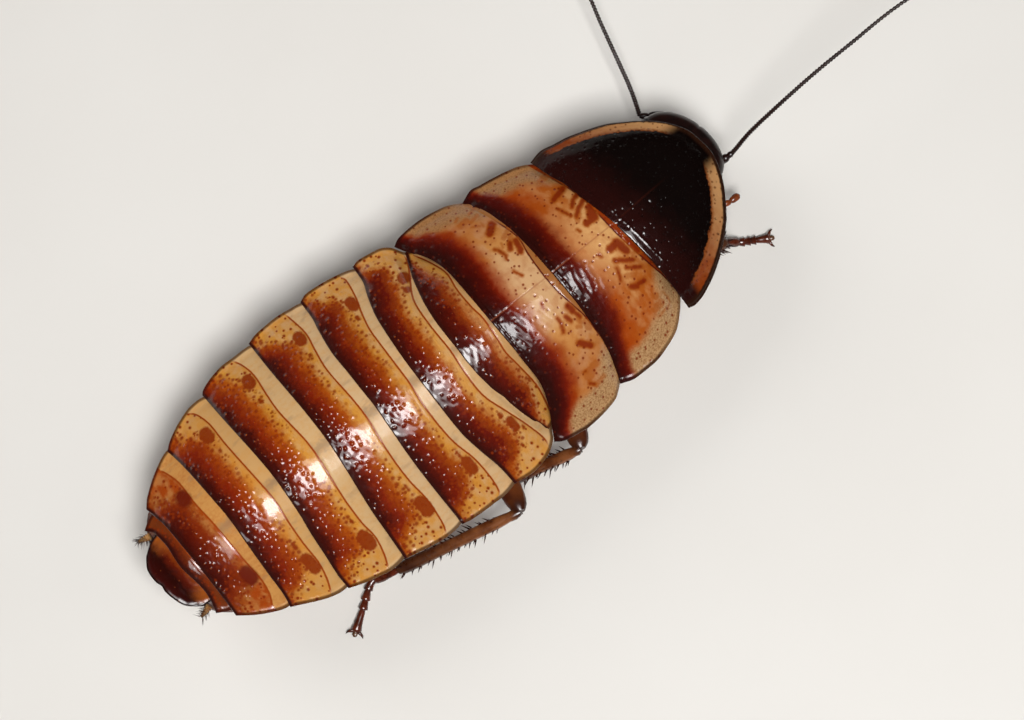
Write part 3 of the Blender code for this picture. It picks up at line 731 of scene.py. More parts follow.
OUTLINES = {
    "pronotum": Outline(
        rear=((5.24, -12.58), (3.81, -12.77), (2.81, -13.03), (1.49, -13.21), (0.61, -13.36), (-0.26, -13.52),
            (-1.07, -13.6), (-1.73, -13.68), (-3.18, -13.82), (-4.89, -13.94), (-6.02, -13.94), (-7.44, -13.96)),
        left=((3.1, -18.82), (3.52, -18.22), (4.03, -17.45), (4.56, -16.25), (4.95, -15.17), (5.16, -14.27),
            (5.36, -13.43), (5.24, -12.58)),
        right=((-4.95, -19.12), (-5.58, -18.4), (-6.24, -17.49), (-6.78, -16.59), (-7.17, -15.75), (-7.44, -14.97),
            (-7.53, -14.32), (-7.44, -13.96)),
        suture=((3.1, -18.82), (2.5, -19.51), (1.84, -20.11), (1.18, -20.55), (0.43, -20.91), (-0.33, -21.02),
            (-0.99, -21.07), (-1.65, -21.01), (-2.55, -20.7), (-3.39, -20.27), (-4.17, -19.73), (-4.95, -19.12)),
    ),
    "mesonotum": Outline(
        rear=((6.07, -7.91), (5.42, -8.19), (4.76, -8.51), (3.83, -8.7), (2.78, -8.86), (1.25, -8.91),
            (-0.96, -8.9), (-2.1, -8.89), (-3.23, -8.88), (-4.36, -8.81), (-5.48, -8.74), (-6.6, -8.52),
            (-7.51, -8.21), (-8.2, -7.94)),
        left=((4.2, -13.35), (5.0, -12.65), (5.48, -11.93), (5.78, -11.09), (6.02, -10.13), (6.19, -9.29),
            (6.31, -8.69), (6.07, -7.91)),
        right=((-5.7, -14.55), (-6.6, -13.95), (-7.35, -13.25), (-7.95, -12.47), (-8.31, -11.51), (-8.55, -10.44),
            (-8.55, -9.49), (-8.49, -8.65), (-8.2, -7.94)),
        suture=((5.2, -12.3), (3.2, -12.85), (1.59, -13.18), (-1.09, -13.25), (-2.03, -13.33), (-3.17, -13.49),
            (-4.29, -13.72), (-5.42, -13.97), (-6.6, -13.97)),
    ),
    "metanotum": Outline(
        rear=((6.76, -3.12), (5.97, -3.46), (5.31, -3.86), (4.51, -4.19), (3.46, -4.39), (2.04, -4.41),
            (-0.82, -4.34), (-2.71, -4.33), (-3.83, -4.29), (-4.95, -4.27), (-5.73, -4.11), (-6.62, -3.73),
            (-7.52, -3.17), (-8.27, -2.71)),
        left=((5.8, -8.35), (6.48, -7.25), (6.78, -6.29), (6.96, -5.33), (7.01, -4.37), (6.95, -3.54), (6.76, -3.12)),
        right=((-7.6, -8.55), (-8.1, -7.95), (-8.62, -7.22), (-8.8, -6.51), (-8.89, -5.68), (-8.9, -4.73),
            (-8.74, -3.9), (-8.57, -3.18), (-8.27, -2.71)),
        suture=((6.3, -7.6), (4.8, -8.2), (2.26, -8.77), (0.75, -8.54), (-0.82, -8.39), (-2.1, -8.42),
            (-3.24, -8.58), (-4.36, -8.72), (-6.3, -8.55), (-8.3, -7.8)),
    ),
    "tergite_1": Outline(
        rear=((6.04, -3.32), (5.08, -2.9), (4.27, -2.58), (2.63, -2.13), (1.06, -1.9), (-0.7, -1.81),
            (-1.83, -1.75), (-3.29, -1.77), (-4.24, -1.96), (-5.24, -2.16), (-6.43, -2.45), (-7.44, -2.78)),
        left=((5.0, -4.6), (5.6, -3.95), (6.04, -3.32)),
        right=((-6.7, -4.45), (-7.2, -3.55), (-7.44, -2.78)),
        suture=((5.6, -3.6), (4.6, -4.0), (3.33, -4.28), (2.03, -4.06), (0.67, -4.0), (-0.41, -4.06),
            (-1.81, -3.91), (-2.71, -3.78), (-3.83, -3.88), (-5.28, -3.95), (-6.9, -3.6)),
    ),
    "tergite_2": Outline(
        rear=((7.47, -0.41), (6.32, -0.27), (5.43, 0.07), (4.2, 0.46), (2.99, 0.67), (1.02, 0.9), (-0.55, 1.01),
            (-1.85, 1.08), (-3.31, 1.16), (-4.7, 1.18), (-6.09, 1.0), (-7.33, 0.78), (-8.57, 0.73)),
        left=((5.6, -3.95), (6.1, -3.25), (6.82, -2.82), (7.22, -2.28), (7.42, -1.5), (7.53, -0.84), (7.47, -0.41)),
        right=((-7.0, -3.55), (-7.5, -3.0), (-8.03, -2.65), (-8.45, -2.05), (-8.69, -1.28), (-8.77, -0.51),
            (-8.67, 0.26), (-8.57, 0.73)),
        suture=((6.6, -3.2), (5.76, -3.09), (5.08, -2.78), (4.27, -2.28), (3.47, -1.83), (2.62, -1.6),
            (1.05, -1.45), (-0.44, -1.4), (-1.83, -1.23), (-3.05, -1.12), (-4.02, -1.2), (-5.24, -1.6),
            (-6.3, -1.95), (-7.48, -2.25), (-8.1, -2.26), (-8.57, -2.06)),
    ),
    "tergite_3": Outline(
        rear=((7.9, 3.34), (6.67, 3.42), (5.79, 3.6), (4.13, 3.85), (2.53, 3.89), (1.0, 3.94), (-0.16, 3.98),
            (-1.85, 4.16), (-3.3, 4.34), (-4.69, 4.46), (-6.08, 4.54), (-8.35, 4.64)),
        left=((6.95, -0.95), (7.33, -0.32), (7.59, 0.29), (7.85, 1.35), (8.0, 2.27), (8.04, 2.91), (7.9, 3.34)),
        right=((-8.2, 0.1), (-8.52, 0.8), (-8.67, 1.56), (-8.64, 2.33), (-8.58, 3.34), (-8.49, 4.11), (-8.35, 4.64)),
        suture=((7.59, 0.57), (7.01, 0.48), (5.85, 0.7), (4.85, 1.03), (3.66, 1.33), (2.57, 1.43), (1.02, 1.53),
            (-0.47, 1.64), (-1.85, 1.85), (-3.31, 1.95), (-4.7, 1.91), (-6.09, 1.64), (-7.49, 1.63), (-8.4, 1.8),
            (-8.63, 2.1)),
    ),
    "tergite_4": Outline(
        rear=((8.03, 7.28), (5.75, 7.31), (2.52, 7.27), (0.2, 7.36), (-1.83, 7.64), (-3.28, 7.91), (-4.66, 8.15),
            (-6.05, 8.33), (-7.7, 8.55)),
        left=((7.5, 2.8), (7.87, 3.46), (8.03, 4.18), (8.16, 4.98), (8.19, 6.15), (8.15, 6.8), (8.03, 7.28)),
        right=((-7.95, 4.0), (-8.26, 4.76), (-8.32, 5.68), (-8.17, 6.71), (-7.91, 7.72), (-7.7, 8.55)),
        suture=((8.04, 4.54), (6.21, 4.34), (4.91, 4.56), (3.35, 4.78), (1.0, 4.75), (-0.47, 4.83), (-1.84, 5.07),
            (-3.29, 5.27), (-4.68, 5.36), (-6.07, 5.31), (-7.48, 5.51), (-8.17, 5.75)),
    ),
    "tergite_5": Outline(
        rear=((7.52, 11.39), (5.78, 11.31), (2.54, 11.12), (0.43, 11.12), (-1.79, 11.38), (-3.23, 11.68),
            (-4.62, 11.92), (-6.01, 12.18), (-6.82, 12.22)),
        left=((7.6, 6.7), (7.94, 7.46), (8.02, 8.56), (8.06, 9.47), (7.93, 10.38), (7.7, 11.15), (7.52, 11.39)),
        right=((-7.3, 7.9), (-7.6, 8.73), (-7.64, 9.61), (-7.47, 10.38), (-7.15, 11.42), (-6.82, 12.22)),
        suture=((8.01, 8.75), (7.21, 8.43), (6.19, 8.29), (4.75, 8.43), (3.34, 8.51), (1.0, 8.38), (-0.46, 8.5),
            (-1.82, 8.73), (-3.27, 8.96), (-4.65, 9.08), (-5.68, 9.05), (-6.66, 9.31), (-7.46, 9.68)),
    ),
    "tergite_6": Outline(
        rear=((6.33, 15.12), (4.88, 14.91), (2.63, 14.75), (0.5, 14.71), (-1.72, 14.95), (-3.16, 15.15),
            (-4.55, 15.32), (-5.41, 15.53)),
        left=((7.1, 10.75), (7.43, 11.62), (7.46, 12.44), (7.32, 13.08), (6.99, 13.98), (6.6, 14.75), (6.33, 15.12)),
        right=((-6.45, 11.55), (-6.68, 12.45), (-6.51, 13.34), (-6.11, 14.23), (-5.68, 15.0), (-5.41, 15.53)),
        suture=((7.33, 12.81), (6.81, 12.42), (5.8, 12.17), (4.15, 12.15), (1.03, 12.02), (-0.42, 12.04),
            (-1.77, 12.25), (-3.22, 12.45), (-4.6, 12.55), (-5.63, 12.84), (-6.51, 13.29)),
    ),
    "tergite_7": Outline(
        rear=((4.52, 18.3), (3.63, 18.12), (2.78, 17.99), (0.4, 17.92), (-1.67, 18.06), (-3.06, 18.24),
            (-3.69, 18.32)),
        left=((6.1, 14.45), (6.36, 15.24), (5.93, 16.36), (5.33, 17.34), (4.9, 17.93), (4.52, 18.3)),
        right=((-5.25, 14.85), (-5.25, 15.77), (-4.88, 16.64), (-4.33, 17.53), (-3.69, 18.32)),
        suture=((5.74, 16.23), (5.29, 16.03), (4.28, 15.78), (2.67, 15.78), (1.12, 15.68), (-0.34, 15.69),
            (-1.75, 15.74), (-3.14, 15.77), (-4.06, 15.98), (-4.69, 16.35)),
    ),
    "tergite_8": Outline(
        rear=((3.62, 19.17), (3.16, 18.85), (1.98, 18.69), (0.48, 18.81), (-0.89, 18.71), (-1.8, 18.76),
            (-2.8, 19.1)),
        left=((4.15, 17.75), (3.98, 18.5), (3.62, 19.17)),
        right=((-3.35, 17.85), (-3.15, 18.5), (-2.8, 19.1)),
        suture=((4.0, 18.2), (2.78, 18.05), (0.4, 18.0), (-1.67, 18.1), (-3.2, 18.25)),
    ),
}

RIDGES = dict(zip(OUTLINES, (8.5, 9.2, 9.6, 9.7, 9.8, 9.8, 9.6, 9.1, 8.3, 7.2, 6.8)))
COVERS = dict(zip(list(OUTLINES)[1:], OUTLINES))  # the plate that lies over each plate's front

# Marks as strokes, x and y of both ends and half width: muscle scars of the chest, spots of the abdomen.
SCARS = {
    "mesonotum": ((0.65, -13.13, -0.09, -12.93, 0.19), (0.34, -12.94, 0.09, -12.75, 0.18),
        (-0.09, -12.93, -0.04, -12.33, 0.17), (1.78, -13.19, 1.64, -12.76, 0.12),
        (1.64, -12.76, 1.32, -12.36, 0.11), (1.21, -13.16, 1.01, -12.61, 0.12), (1.01, -12.61, 0.69, -12.18, 0.12),
        (2.61, -12.76, 2.42, -11.91, 0.17), (1.81, -11.67, 0.94, -11.95, 0.08), (0.01, -11.68, -0.17, -11.73, 0.06),
        (-2.03, -12.92, -2.72, -13.05, 0.21), (-2.09, -12.86, -2.1, -12.38, 0.19),
        (-3.4, -13.02, -3.12, -12.59, 0.12), (-3.12, -12.59, -2.79, -12.16, 0.12),
        (-3.96, -13.1, -3.74, -12.73, 0.11), (-3.74, -12.73, -3.52, -12.43, 0.09),
        (-4.7, -12.78, -4.65, -12.36, 0.14), (-4.71, -12.24, -4.51, -11.93, 0.15),
        (-3.19, -11.94, -3.87, -11.66, 0.08), (-1.94, -11.67, -2.11, -11.67, 0.06),
        (-2.19, -13.52, -3.16, -13.61, 0.15)),
    "metanotum": ((3.72, -8.2, 3.36, -7.72, 0.2), (1.94, -8.55, 1.31, -8.4, 0.15), (1.37, -8.38, 1.24, -8.31, 0.14),
        (2.06, -8.2, 1.77, -7.98, 0.14), (2.36, -7.27, 2.17, -7.42, 0.07), (2.17, -7.42, 1.62, -7.51, 0.08),
        (1.62, -7.51, 1.39, -7.38, 0.06), (0.54, -7.23, 0.04, -7.44, 0.06), (-5.06, -7.46, -5.54, -7.86, 0.17),
        (-3.04, -8.3, -3.41, -8.34, 0.16), (-3.41, -8.36, -3.91, -8.46, 0.1), (-3.42, -7.79, -3.75, -7.87, 0.12),
        (-3.19, -7.35, -3.53, -7.34, 0.07), (-3.53, -7.34, -4.02, -7.11, 0.08), (-1.93, -7.21, -2.22, -7.12, 0.06),
        (-7.15, -6.42, -7.32, -6.61, 0.09), (-6.48, -6.68, -6.45, -6.53, 0.06)),
    "tergite_2": ((4.8, -2.21, 4.8, -2.21, 0.41), (-6.25, -1.41, -5.79, -1.41, 0.27),
        (4.06, -1.86, 4.06, -1.86, 0.24), (-5.28, -1.16, -5.1, -1.16, 0.12), (-6.58, -1.78, -6.46, -1.78, 0.09)),
    "tergite_3": ((5.46, 1.14, 5.82, 1.14, 0.35), (-6.44, 2.11, -5.96, 2.11, 0.35),
        (-5.46, 2.18, -5.16, 2.18, 0.09), (4.59, 1.42, 4.77, 1.42, 0.12)),
    "tergite_4": ((5.93, 4.81, 6.29, 4.81, 0.35), (-6.51, 5.7, -5.97, 5.7, 0.41), (4.81, 4.97, 4.87, 4.97, 0.12),
        (-5.0, 5.74, -4.64, 5.74, 0.09)),
    "tergite_5": ((6.01, 8.77, 6.31, 8.77, 0.38), (-5.75, 9.58, -5.33, 9.58, 0.44), (4.64, 8.95, 4.76, 8.95, 0.12),
        (-4.27, 9.47, -4.03, 9.47, 0.09)),
    "tergite_6": ((5.2, 12.7, 5.5, 12.7, 0.41), (-4.76, 12.93, -4.1, 12.93, 0.35), (3.98, 12.62, 4.1, 12.62, 0.09),
        (-3.13, 12.97, -2.95, 12.97, 0.12)),
    "tergite_7": ((3.27, 16.15, 3.51, 16.15, 0.41), (-2.75, 16.15, -2.39, 16.15, 0.41)),
}
# Fainter smudges of the chest.
STAINS = {
    "mesonotum": ((4.05, -12.8, 3.9, -12.19, 0.19), (3.53, -13.07, 3.0, -13.15, 0.18),
        (-5.77, -12.79, -5.83, -12.67, 0.14), (-6.28, -12.76, -6.34, -12.22, 0.18),
        (-6.68, -12.78, -6.82, -12.19, 0.07), (-5.82, -13.24, -6.22, -13.32, 0.05),
        (-6.22, -13.32, -6.56, -13.2, 0.05), (-6.56, -13.2, -6.73, -12.9, 0.05), (0.63, -12.36, 0.44, -12.05, 0.14),
        (-4.08, -12.51, -3.87, -12.08, 0.14), (-3.17, -13.25, -4.07, -13.23, 0.12)),
    "metanotum": ((4.81, -7.9, 4.7, -7.35, 0.11), (4.97, -7.2, 4.96, -6.76, 0.18), (2.39, -8.54, 2.06, -8.2, 0.15),
        (2.85, -8.71, 2.54, -8.13, 0.13), (-4.33, -8.57, -4.64, -8.46, 0.18), (-4.37, -8.13, -4.28, -7.92, 0.1),
        (-3.96, -8.23, -4.21, -8.3, 0.13), (-6.51, -7.45, -6.51, -7.25, 0.18), (-6.67, -6.92, -6.78, -6.63, 0.24),
        (2.41, -7.81, 2.12, -7.71, 0.06), (4.25, -7.77, 3.95, -7.75, 0.06), (4.45, -7.15, 4.13, -7.62, 0.06),
        (-7.29, -7.37, -7.46, -6.66, 0.12), (5.48, -6.93, 5.38, -6.71, 0.08), (5.35, -8.13, 5.21, -7.64, 0.09)),
}


def midline(y: np.ndarray) -> np.ndarray:
    """X of the body's midline at a place along it."""
    return np.interp(y, (-20.91, -13.6, -8.88, -4.31, 1.01, 11.12, 17.92, 20.6),
                     (-0.84, -1.06, -0.96, -0.82, -0.55, 0.43, 0.4, 0.45))


# ---- the back


class Span:
    """Plan surface spanned between four lines, with s = 0 on the body's midline."""

    def __init__(self, front: np.ndarray, rear: np.ndarray, left: np.ndarray, right: np.ndarray) -> None:
        """Keeps the lines: front and rear run from left to right, the sides to the rear."""
        self.front = self._halves(front)
        self.rear = self._halves(rear)
        self.left, self.right = left, right

    @staticmethod
    def _halves(line: np.ndarray) -> tuple[np.ndarray, np.ndarray]:
        """Splits a crosswise line on the midline, each half from the middle outwards."""
        away = line[:, 0] - midline(line[:, 1])
        cut = int(np.argmax(away < 0.0))
        share = away[cut - 1] / (away[cut - 1] - away[cut])
        middle = line[cut - 1] + (line[cut] - line[cut - 1]) * share
        return np.vstack([middle, line[cut - 1 :: -1]]), np.vstack([middle, line[cut:]])

    @staticmethod
    def _across(halves: tuple[np.ndarray, np.ndarray], s: np.ndarray) -> np.ndarray:
        """Points at shares of a crosswise line, 1 at its left end."""
        left, right = walk(halves[0], np.abs(s)), walk(halves[1], np.abs(s))
        return np.where((s > 0.0)[:, None], left, right)

    def at(self, s: np.ndarray, t: np.ndarray) -> np.ndarray:
        """Plan points.

        Args:
            s: share across, 1 at the left side and -1 at the right.
            t: share along, 0 at the front and 1 at the rear.

        Returns:
            One row of x and y for each point.
        """
        u, v = ((1.0 + s) / 2.0)[:, None], t[:, None]
        ones = np.ones(1)
        corner = {
            (a, b): self._across(line, a * ones) for a in (-1, 1) for b, line in enumerate((self.front, self.rear))
        }
        sides = (1.0 - u) * walk(self.right, t) + u * walk(self.left, t)
        rims = (1.0 - v) * self._across(self.front, s) + v * self._across(self.rear, s)
        flat = (1.0 - u) * ((1.0 - v) * corner[-1, 0] + v * corner[-1, 1])
        flat = flat + u * ((1.0 - v) * corner[1, 0] + v * corner[1, 1])
        return sides + rims - flat


@dataclass
class BackPlate:
    """One plate of the back: a domed sheet with rolled sides, a thin rear lip and a fold beneath it."""

    name: str
    puff: float = 0.1  # rise of the part behind the suture
    bead: float = 0.0  # rise of the glossy bead along the rear edge
    smooth: float = 0.15  # share of the horn behind the suture that has few wrinkles
    keel: float = 0.0  # depth of the groove along the middle
    grains: float = 0.0  # share of the places that carry a granule
    pits: float = 0.0  # depth of the pits
    marks: float = 1.0  # how much wider the marks are than their strokes
    rolls: int = 3  # rows of faces in each rolled edge
    fold: float = 0.85  # how far the hidden sheet under the rear edge is folded back
    granule: float = 0.075  # height of a granule
    seed: int = 1

    @property
    def outline(self) -> Outline:
        """Its traced plan."""
        return OUTLINES[self.name]

    def front_line(self) -> np.ndarray:
        """Line of the hidden front edge, under the plate ahead."""
        left, right = self.outline.left[0], self.outline.right[0]
        if self.name not in COVERS:
            return smooth_line(self.outline.suture)
        cover = smooth_line(OUTLINES[COVERS[self.name]].rear)
        kept = cover[(cover[:, 0] < left[0] - 0.5) & (cover[:, 0] > right[0] + 0.5)][::12].copy()
        kept[:, 1] -= 0.5
        return smooth_line([left, *kept.tolist(), right], 10)

    def lines(self) -> tuple[np.ndarray, np.ndarray, np.ndarray, np.ndarray]:
        """Front, rear, left and right lines, dense."""
        sides = (smooth_line(self.outline.left), smooth_line(self.outline.right))
        return self.front_line(), smooth_line(self.outline.rear), *sides

    def height(self, plan: np.ndarray, s: np.ndarray, t: np.ndarray) -> np.ndarray:
        """Level of the smooth dome, before its relief."""
        front, rear = RIDGES[COVERS[self.name]] - STEP_DOWN, RIDGES[self.name]
        ridge = front + (rear - front) * t
        base = SHOULDER - STEP_DOWN * (1.0 - t)
        return base + (ridge - base) * arch(s)

    def relief(self, plan: np.ndarray, fields: dict[str, np.ndarray]) -> np.ndarray:
        """Rises and hollows of the surface, in millimetres."""
        suture, hem, side = fields["suture"], fields["hem"], fields["side"]
        rise = self.puff * ease(suture, -0.15, 0.9) * ease(hem, -0.2, 0.8)
        rise -= 0.03 * bell(suture, 0.0, 0.06) * ease(side, 0.1, 0.6)
        rise += 0.03 * bell(side, 0.05, 0.12) - 0.05 * bell(side, 0.42, 0.24)
        teeth = 0.75 + 0.6 * ripple(plan, 0.15, self.seed + 90)
        rise += self.bead * teeth * bell(hem, 0.16, 0.07)
        broad = plan * np.array((0.6, 1.0))
        swell = ripple(broad, 0.4, self.seed) * 0.019 + ripple(broad, 0.2, self.seed + 50) * 0.01
        share = suture / np.maximum(suture + hem, 0.1)
        rise += swell * (0.2 + 0.95 * ease(share, self.smooth, self.smooth + 0.3))
        rise -= self.keel * bell(fields["across"], 0.0, 0.05) * ease(suture, -0.4, 0.0)
        return rise

    def scattered(self, plan: np.ndarray, spots: np.ndarray, radii: np.ndarray) -> np.ndarray:
        """Round bumps at given places.

        Args:
            plan: plan points.
            spots: middles of the bumps.
            radii: half width of each.

        Returns:
            From 0 between the bumps to 1 on a bump's top.
        """
        found = np.zeros(len(plan))
        if not len(spots):
            return found
        order = np.argsort(plan[:, 1])
        levels = plan[order, 1]
        for (x, y), radius in zip(spots, radii):
            low, high = np.searchsorted(levels, (y - radius * 1.7, y + radius * 1.7))
            near = order[low:high]
            share = ((plan[near, 0] - x) ** 2 + (plan[near, 1] - y) ** 2) / radius**2
            found[near] = np.maximum(found[near], np.exp(-share * 1.6) * (share < 2.9))
        return found

    @staticmethod
    def jittered(plan: np.ndarray, chance: np.random.Generator, pitch: float, jitter: float) -> np.ndarray:
        """Places of an uneven grid over the plate."""
        low, high = plan.min(0), plan.max(0)
        grid = np.stack(np.meshgrid(np.arange(low[0], high[0], pitch), np.arange(low[1], high[1], pitch)), -1)
        grid = grid.reshape(-1, 2)
        return grid + chance.uniform(-jitter, jitter, grid.shape)

    def grain_spots(self, plan: np.ndarray) -> tuple[np.ndarray, np.ndarray]:
        """Places and sizes of the raised granules, densest near the middle and the rear."""
        chance = np.random.default_rng(self.seed + 900)
        spots = self.jittered(plan, chance, 0.34, 0.15)
        suture, hem = behind(spots, self.sutured()), gap_to(spots, self.lines()[1])
        side = np.minimum(gap_to(spots, self.lines()[2]), gap_to(spots, self.lines()[3]))
        inside = (behind(spots, self.lines()[1]) < -0.12) & (suture > 0.35) & (side > 0.7)
        away = np.abs(spots[:, 0] - midline(spots[:, 1]))
        share = self.grains * (0.3 + 0.7 * bell(away, 0.0, 4.2)) * ease(suture / (suture + hem), 0.1, 0.5)
        kept = inside & (chance.uniform(size=len(spots)) < share)
        return spots[kept], chance.uniform(0.065, 0.115, int(kept.sum()))

    def pit_spots(self, plan: np.ndarray) -> tuple[np.ndarray, np.ndarray]:
        """Places and sizes of the punctures."""
        chance = np.random.default_rng(self.seed + 700)
        spots = self.jittered(plan, chance, 0.58, 0.26)
        return spots, chance.uniform(0.06, 0.1, len(spots))

    def sutured(self) -> np.ndarray:
        """Dense line of its front suture."""
        return smooth_line(self.outline.suture)

    def fields(self, plan: np.ndarray) -> dict[str, np.ndarray]:
        """Distances and marks that the relief and the colours read."""
        _, rear, left, right = self.lines()
        found = {
            "suture": behind(plan, self.sutured()),
            "hem": gap_to(plan, rear),
            "side": np.minimum(gap_to(plan, left), gap_to(plan, right)),
            "across": plan[:, 0] - midline(plan[:, 1]),
        }
        for title, table in (("scar", SCARS), ("stain", STAINS)):
            depth = np.full(len(plan), -1.0)
            for x, y, far_x, far_y, radius in table.get(self.name, ()):
                away = gap_to(plan, np.array(((x, y), (far_x, far_y))))
                depth = np.maximum(depth, np.clip((radius * self.marks - away) / 0.2, -1.0, 1.0))
            found[title] = depth
        return found

    def build(self, bench: Bench, material: bpy.types.Material, slot: Slot) -> None:
        """Models the plate and dresses it.

        Args:
            bench: makes the piece.
            material: its finish.
            slot: the record's slot.
        """
        span = Span(*self.lines())
        wide = np.ptp(span.rear[0][:, 0]) + np.ptp(span.rear[1][:, 0])
        long = np.linalg.norm(span.rear[0][0] - span.front[0][0])
        main, deep = int(wide / FINE), max(int(long / FINE), 8)
        mesh, column, row, ring = slab(main + 2 * self.rolls, deep + self.rolls, walls=3)
        s = np.clip((column - self.rolls) / main * 2.0 - 1.0, -1.0, 1.0)
        t = np.clip((deep + self.rolls - row) / deep, 0.0, 1.0)
        side_roll = np.maximum(self.rolls - column, column - main - self.rolls).clip(0) / self.rolls
        # Rows count from the rear, so that the rolled rows are the first ones.
        rear_roll = (self.rolls - row).clip(0) / self.rolls
        tuck = 1.0 - self.fold / long
        t = np.where(ring >= 2, t * tuck, t)
        plan = span.at(s, t)
        fields = self.fields(plan)
        grains, sizes = self.grain_spots(plan) if self.grains else (np.zeros((0, 2)), np.zeros(0))
        bumps = self.scattered(plan, grains, sizes)
        pits = self.scattered(plan, *self.pit_spots(plan)) if self.pits else np.zeros(len(plan))
        level = self.height(plan, s, t) + self.relief(plan, fields)
        level += bumps * self.granule - pits * self.pits
        inside = 0.97  # share just short of an edge, from which the way out is taken
        outward = span.at(np.sign(s), t) - span.at(np.sign(s) * inside, t)
        outward /= np.maximum(np.linalg.norm(outward, axis=1), 1e-9)[:, None]
        rearward = span.at(s, np.ones(len(s))) - span.at(s, np.full(len(s), inside))
        rearward /= np.linalg.norm(rearward, axis=1)[:, None]
        out = SIDE_OUT * np.sin(side_roll * math.pi / 2.0)
        back = LIP / 2.0 * np.sin(rear_roll * math.pi / 2.0)
        out = np.where(ring == 3, 0.0, out)
        back = np.where(ring > 0, 0.0, back)
        plan = plan + outward * out[:, None] + rearward * back[:, None]
        level -= SIDE_OUT * (1.0 - np.cos(side_roll * math.pi / 2.0))
        level -= LIP / 2.0 * (1.0 - np.cos(rear_roll * math.pi / 2.0))
        level = np.where(ring == 1, level - LIP / 2.0, level)
        level = np.where(ring == 2, np.maximum(level - LIP, SKIRT + 0.05), level)
        level = np.where(ring == 3, SKIRT, level)
        places, values = np.column_stack([plan, level]), {**fields, "tip": bumps, "pit": pits}
        bench.sheet(f"{self.name}_plate", mesh, places, values, material, slot, [self.name])


class NeckShield(BackPlate):
    """The pronotum: a hood whose height falls off by its share of the way to the outline."""

    def height(self, plan: np.ndarray, s: np.ndarray, t: np.ndarray) -> np.ndarray:
        """Level of the hood, steeper ahead than at the sides."""
        centre = np.array((-1.08, -13.55))  # the hood's highest place, on its rear edge
        front, rear, left, right = self.lines()
        loop = np.vstack([left[::-1], front, right])
        angle = np.unwrap(np.arctan2(loop[:, 0] - centre[0], centre[1] - loop[:, 1]))
        reach = np.linalg.norm(loop - centre, axis=1)
        order = np.argsort(angle)
        own = np.arctan2(plan[:, 0] - centre[0], centre[1] - plan[:, 1])
        limit = np.interp(own, angle[order], reach[order])
        share = np.clip(np.linalg.norm(plan - centre, axis=1) / limit, 0.0, 1.0)
        ahead = np.cos(own).clip(0.0) ** 2
        fall = share ** (2.0 - 0.45 * ahead)
        edge = SHOULDER + 0.35 * ahead * share
        return edge + (RIDGES[self.name] - edge) * (1.0 - fall) ** 0.85

    def relief(self, plan: np.ndarray, fields: dict[str, np.ndarray]) -> np.ndarray:
        """Rolled rim, bead and faint swells."""
        side, hem = fields["rim"], fields["hem"]
        rise = 0.05 * bell(side, 0.05, 0.12) - 0.06 * bell(side, 0.5, 0.3)
        teeth = 0.8 + 0.5 * ripple(plan, 0.15, self.seed + 90)
        rise += self.bead * teeth * bell(hem, 0.45, 0.06)
        rise += ripple(plan, 1.1, self.seed) * 0.022 + ripple(plan, 0.4, self.seed + 50) * 0.008
        return rise - 0.006 * bell(fields["across"], 0.0, 0.05)

    def fields(self, plan: np.ndarray) -> dict[str, np.ndarray]:
        """Distances that the relief and the colours read; rim is the one to the whole margin."""
        found = super().fields(plan)
        front = self.lines()[0]
        found["rim"] = np.minimum(found["side"], gap_to(plan, front))
        return found


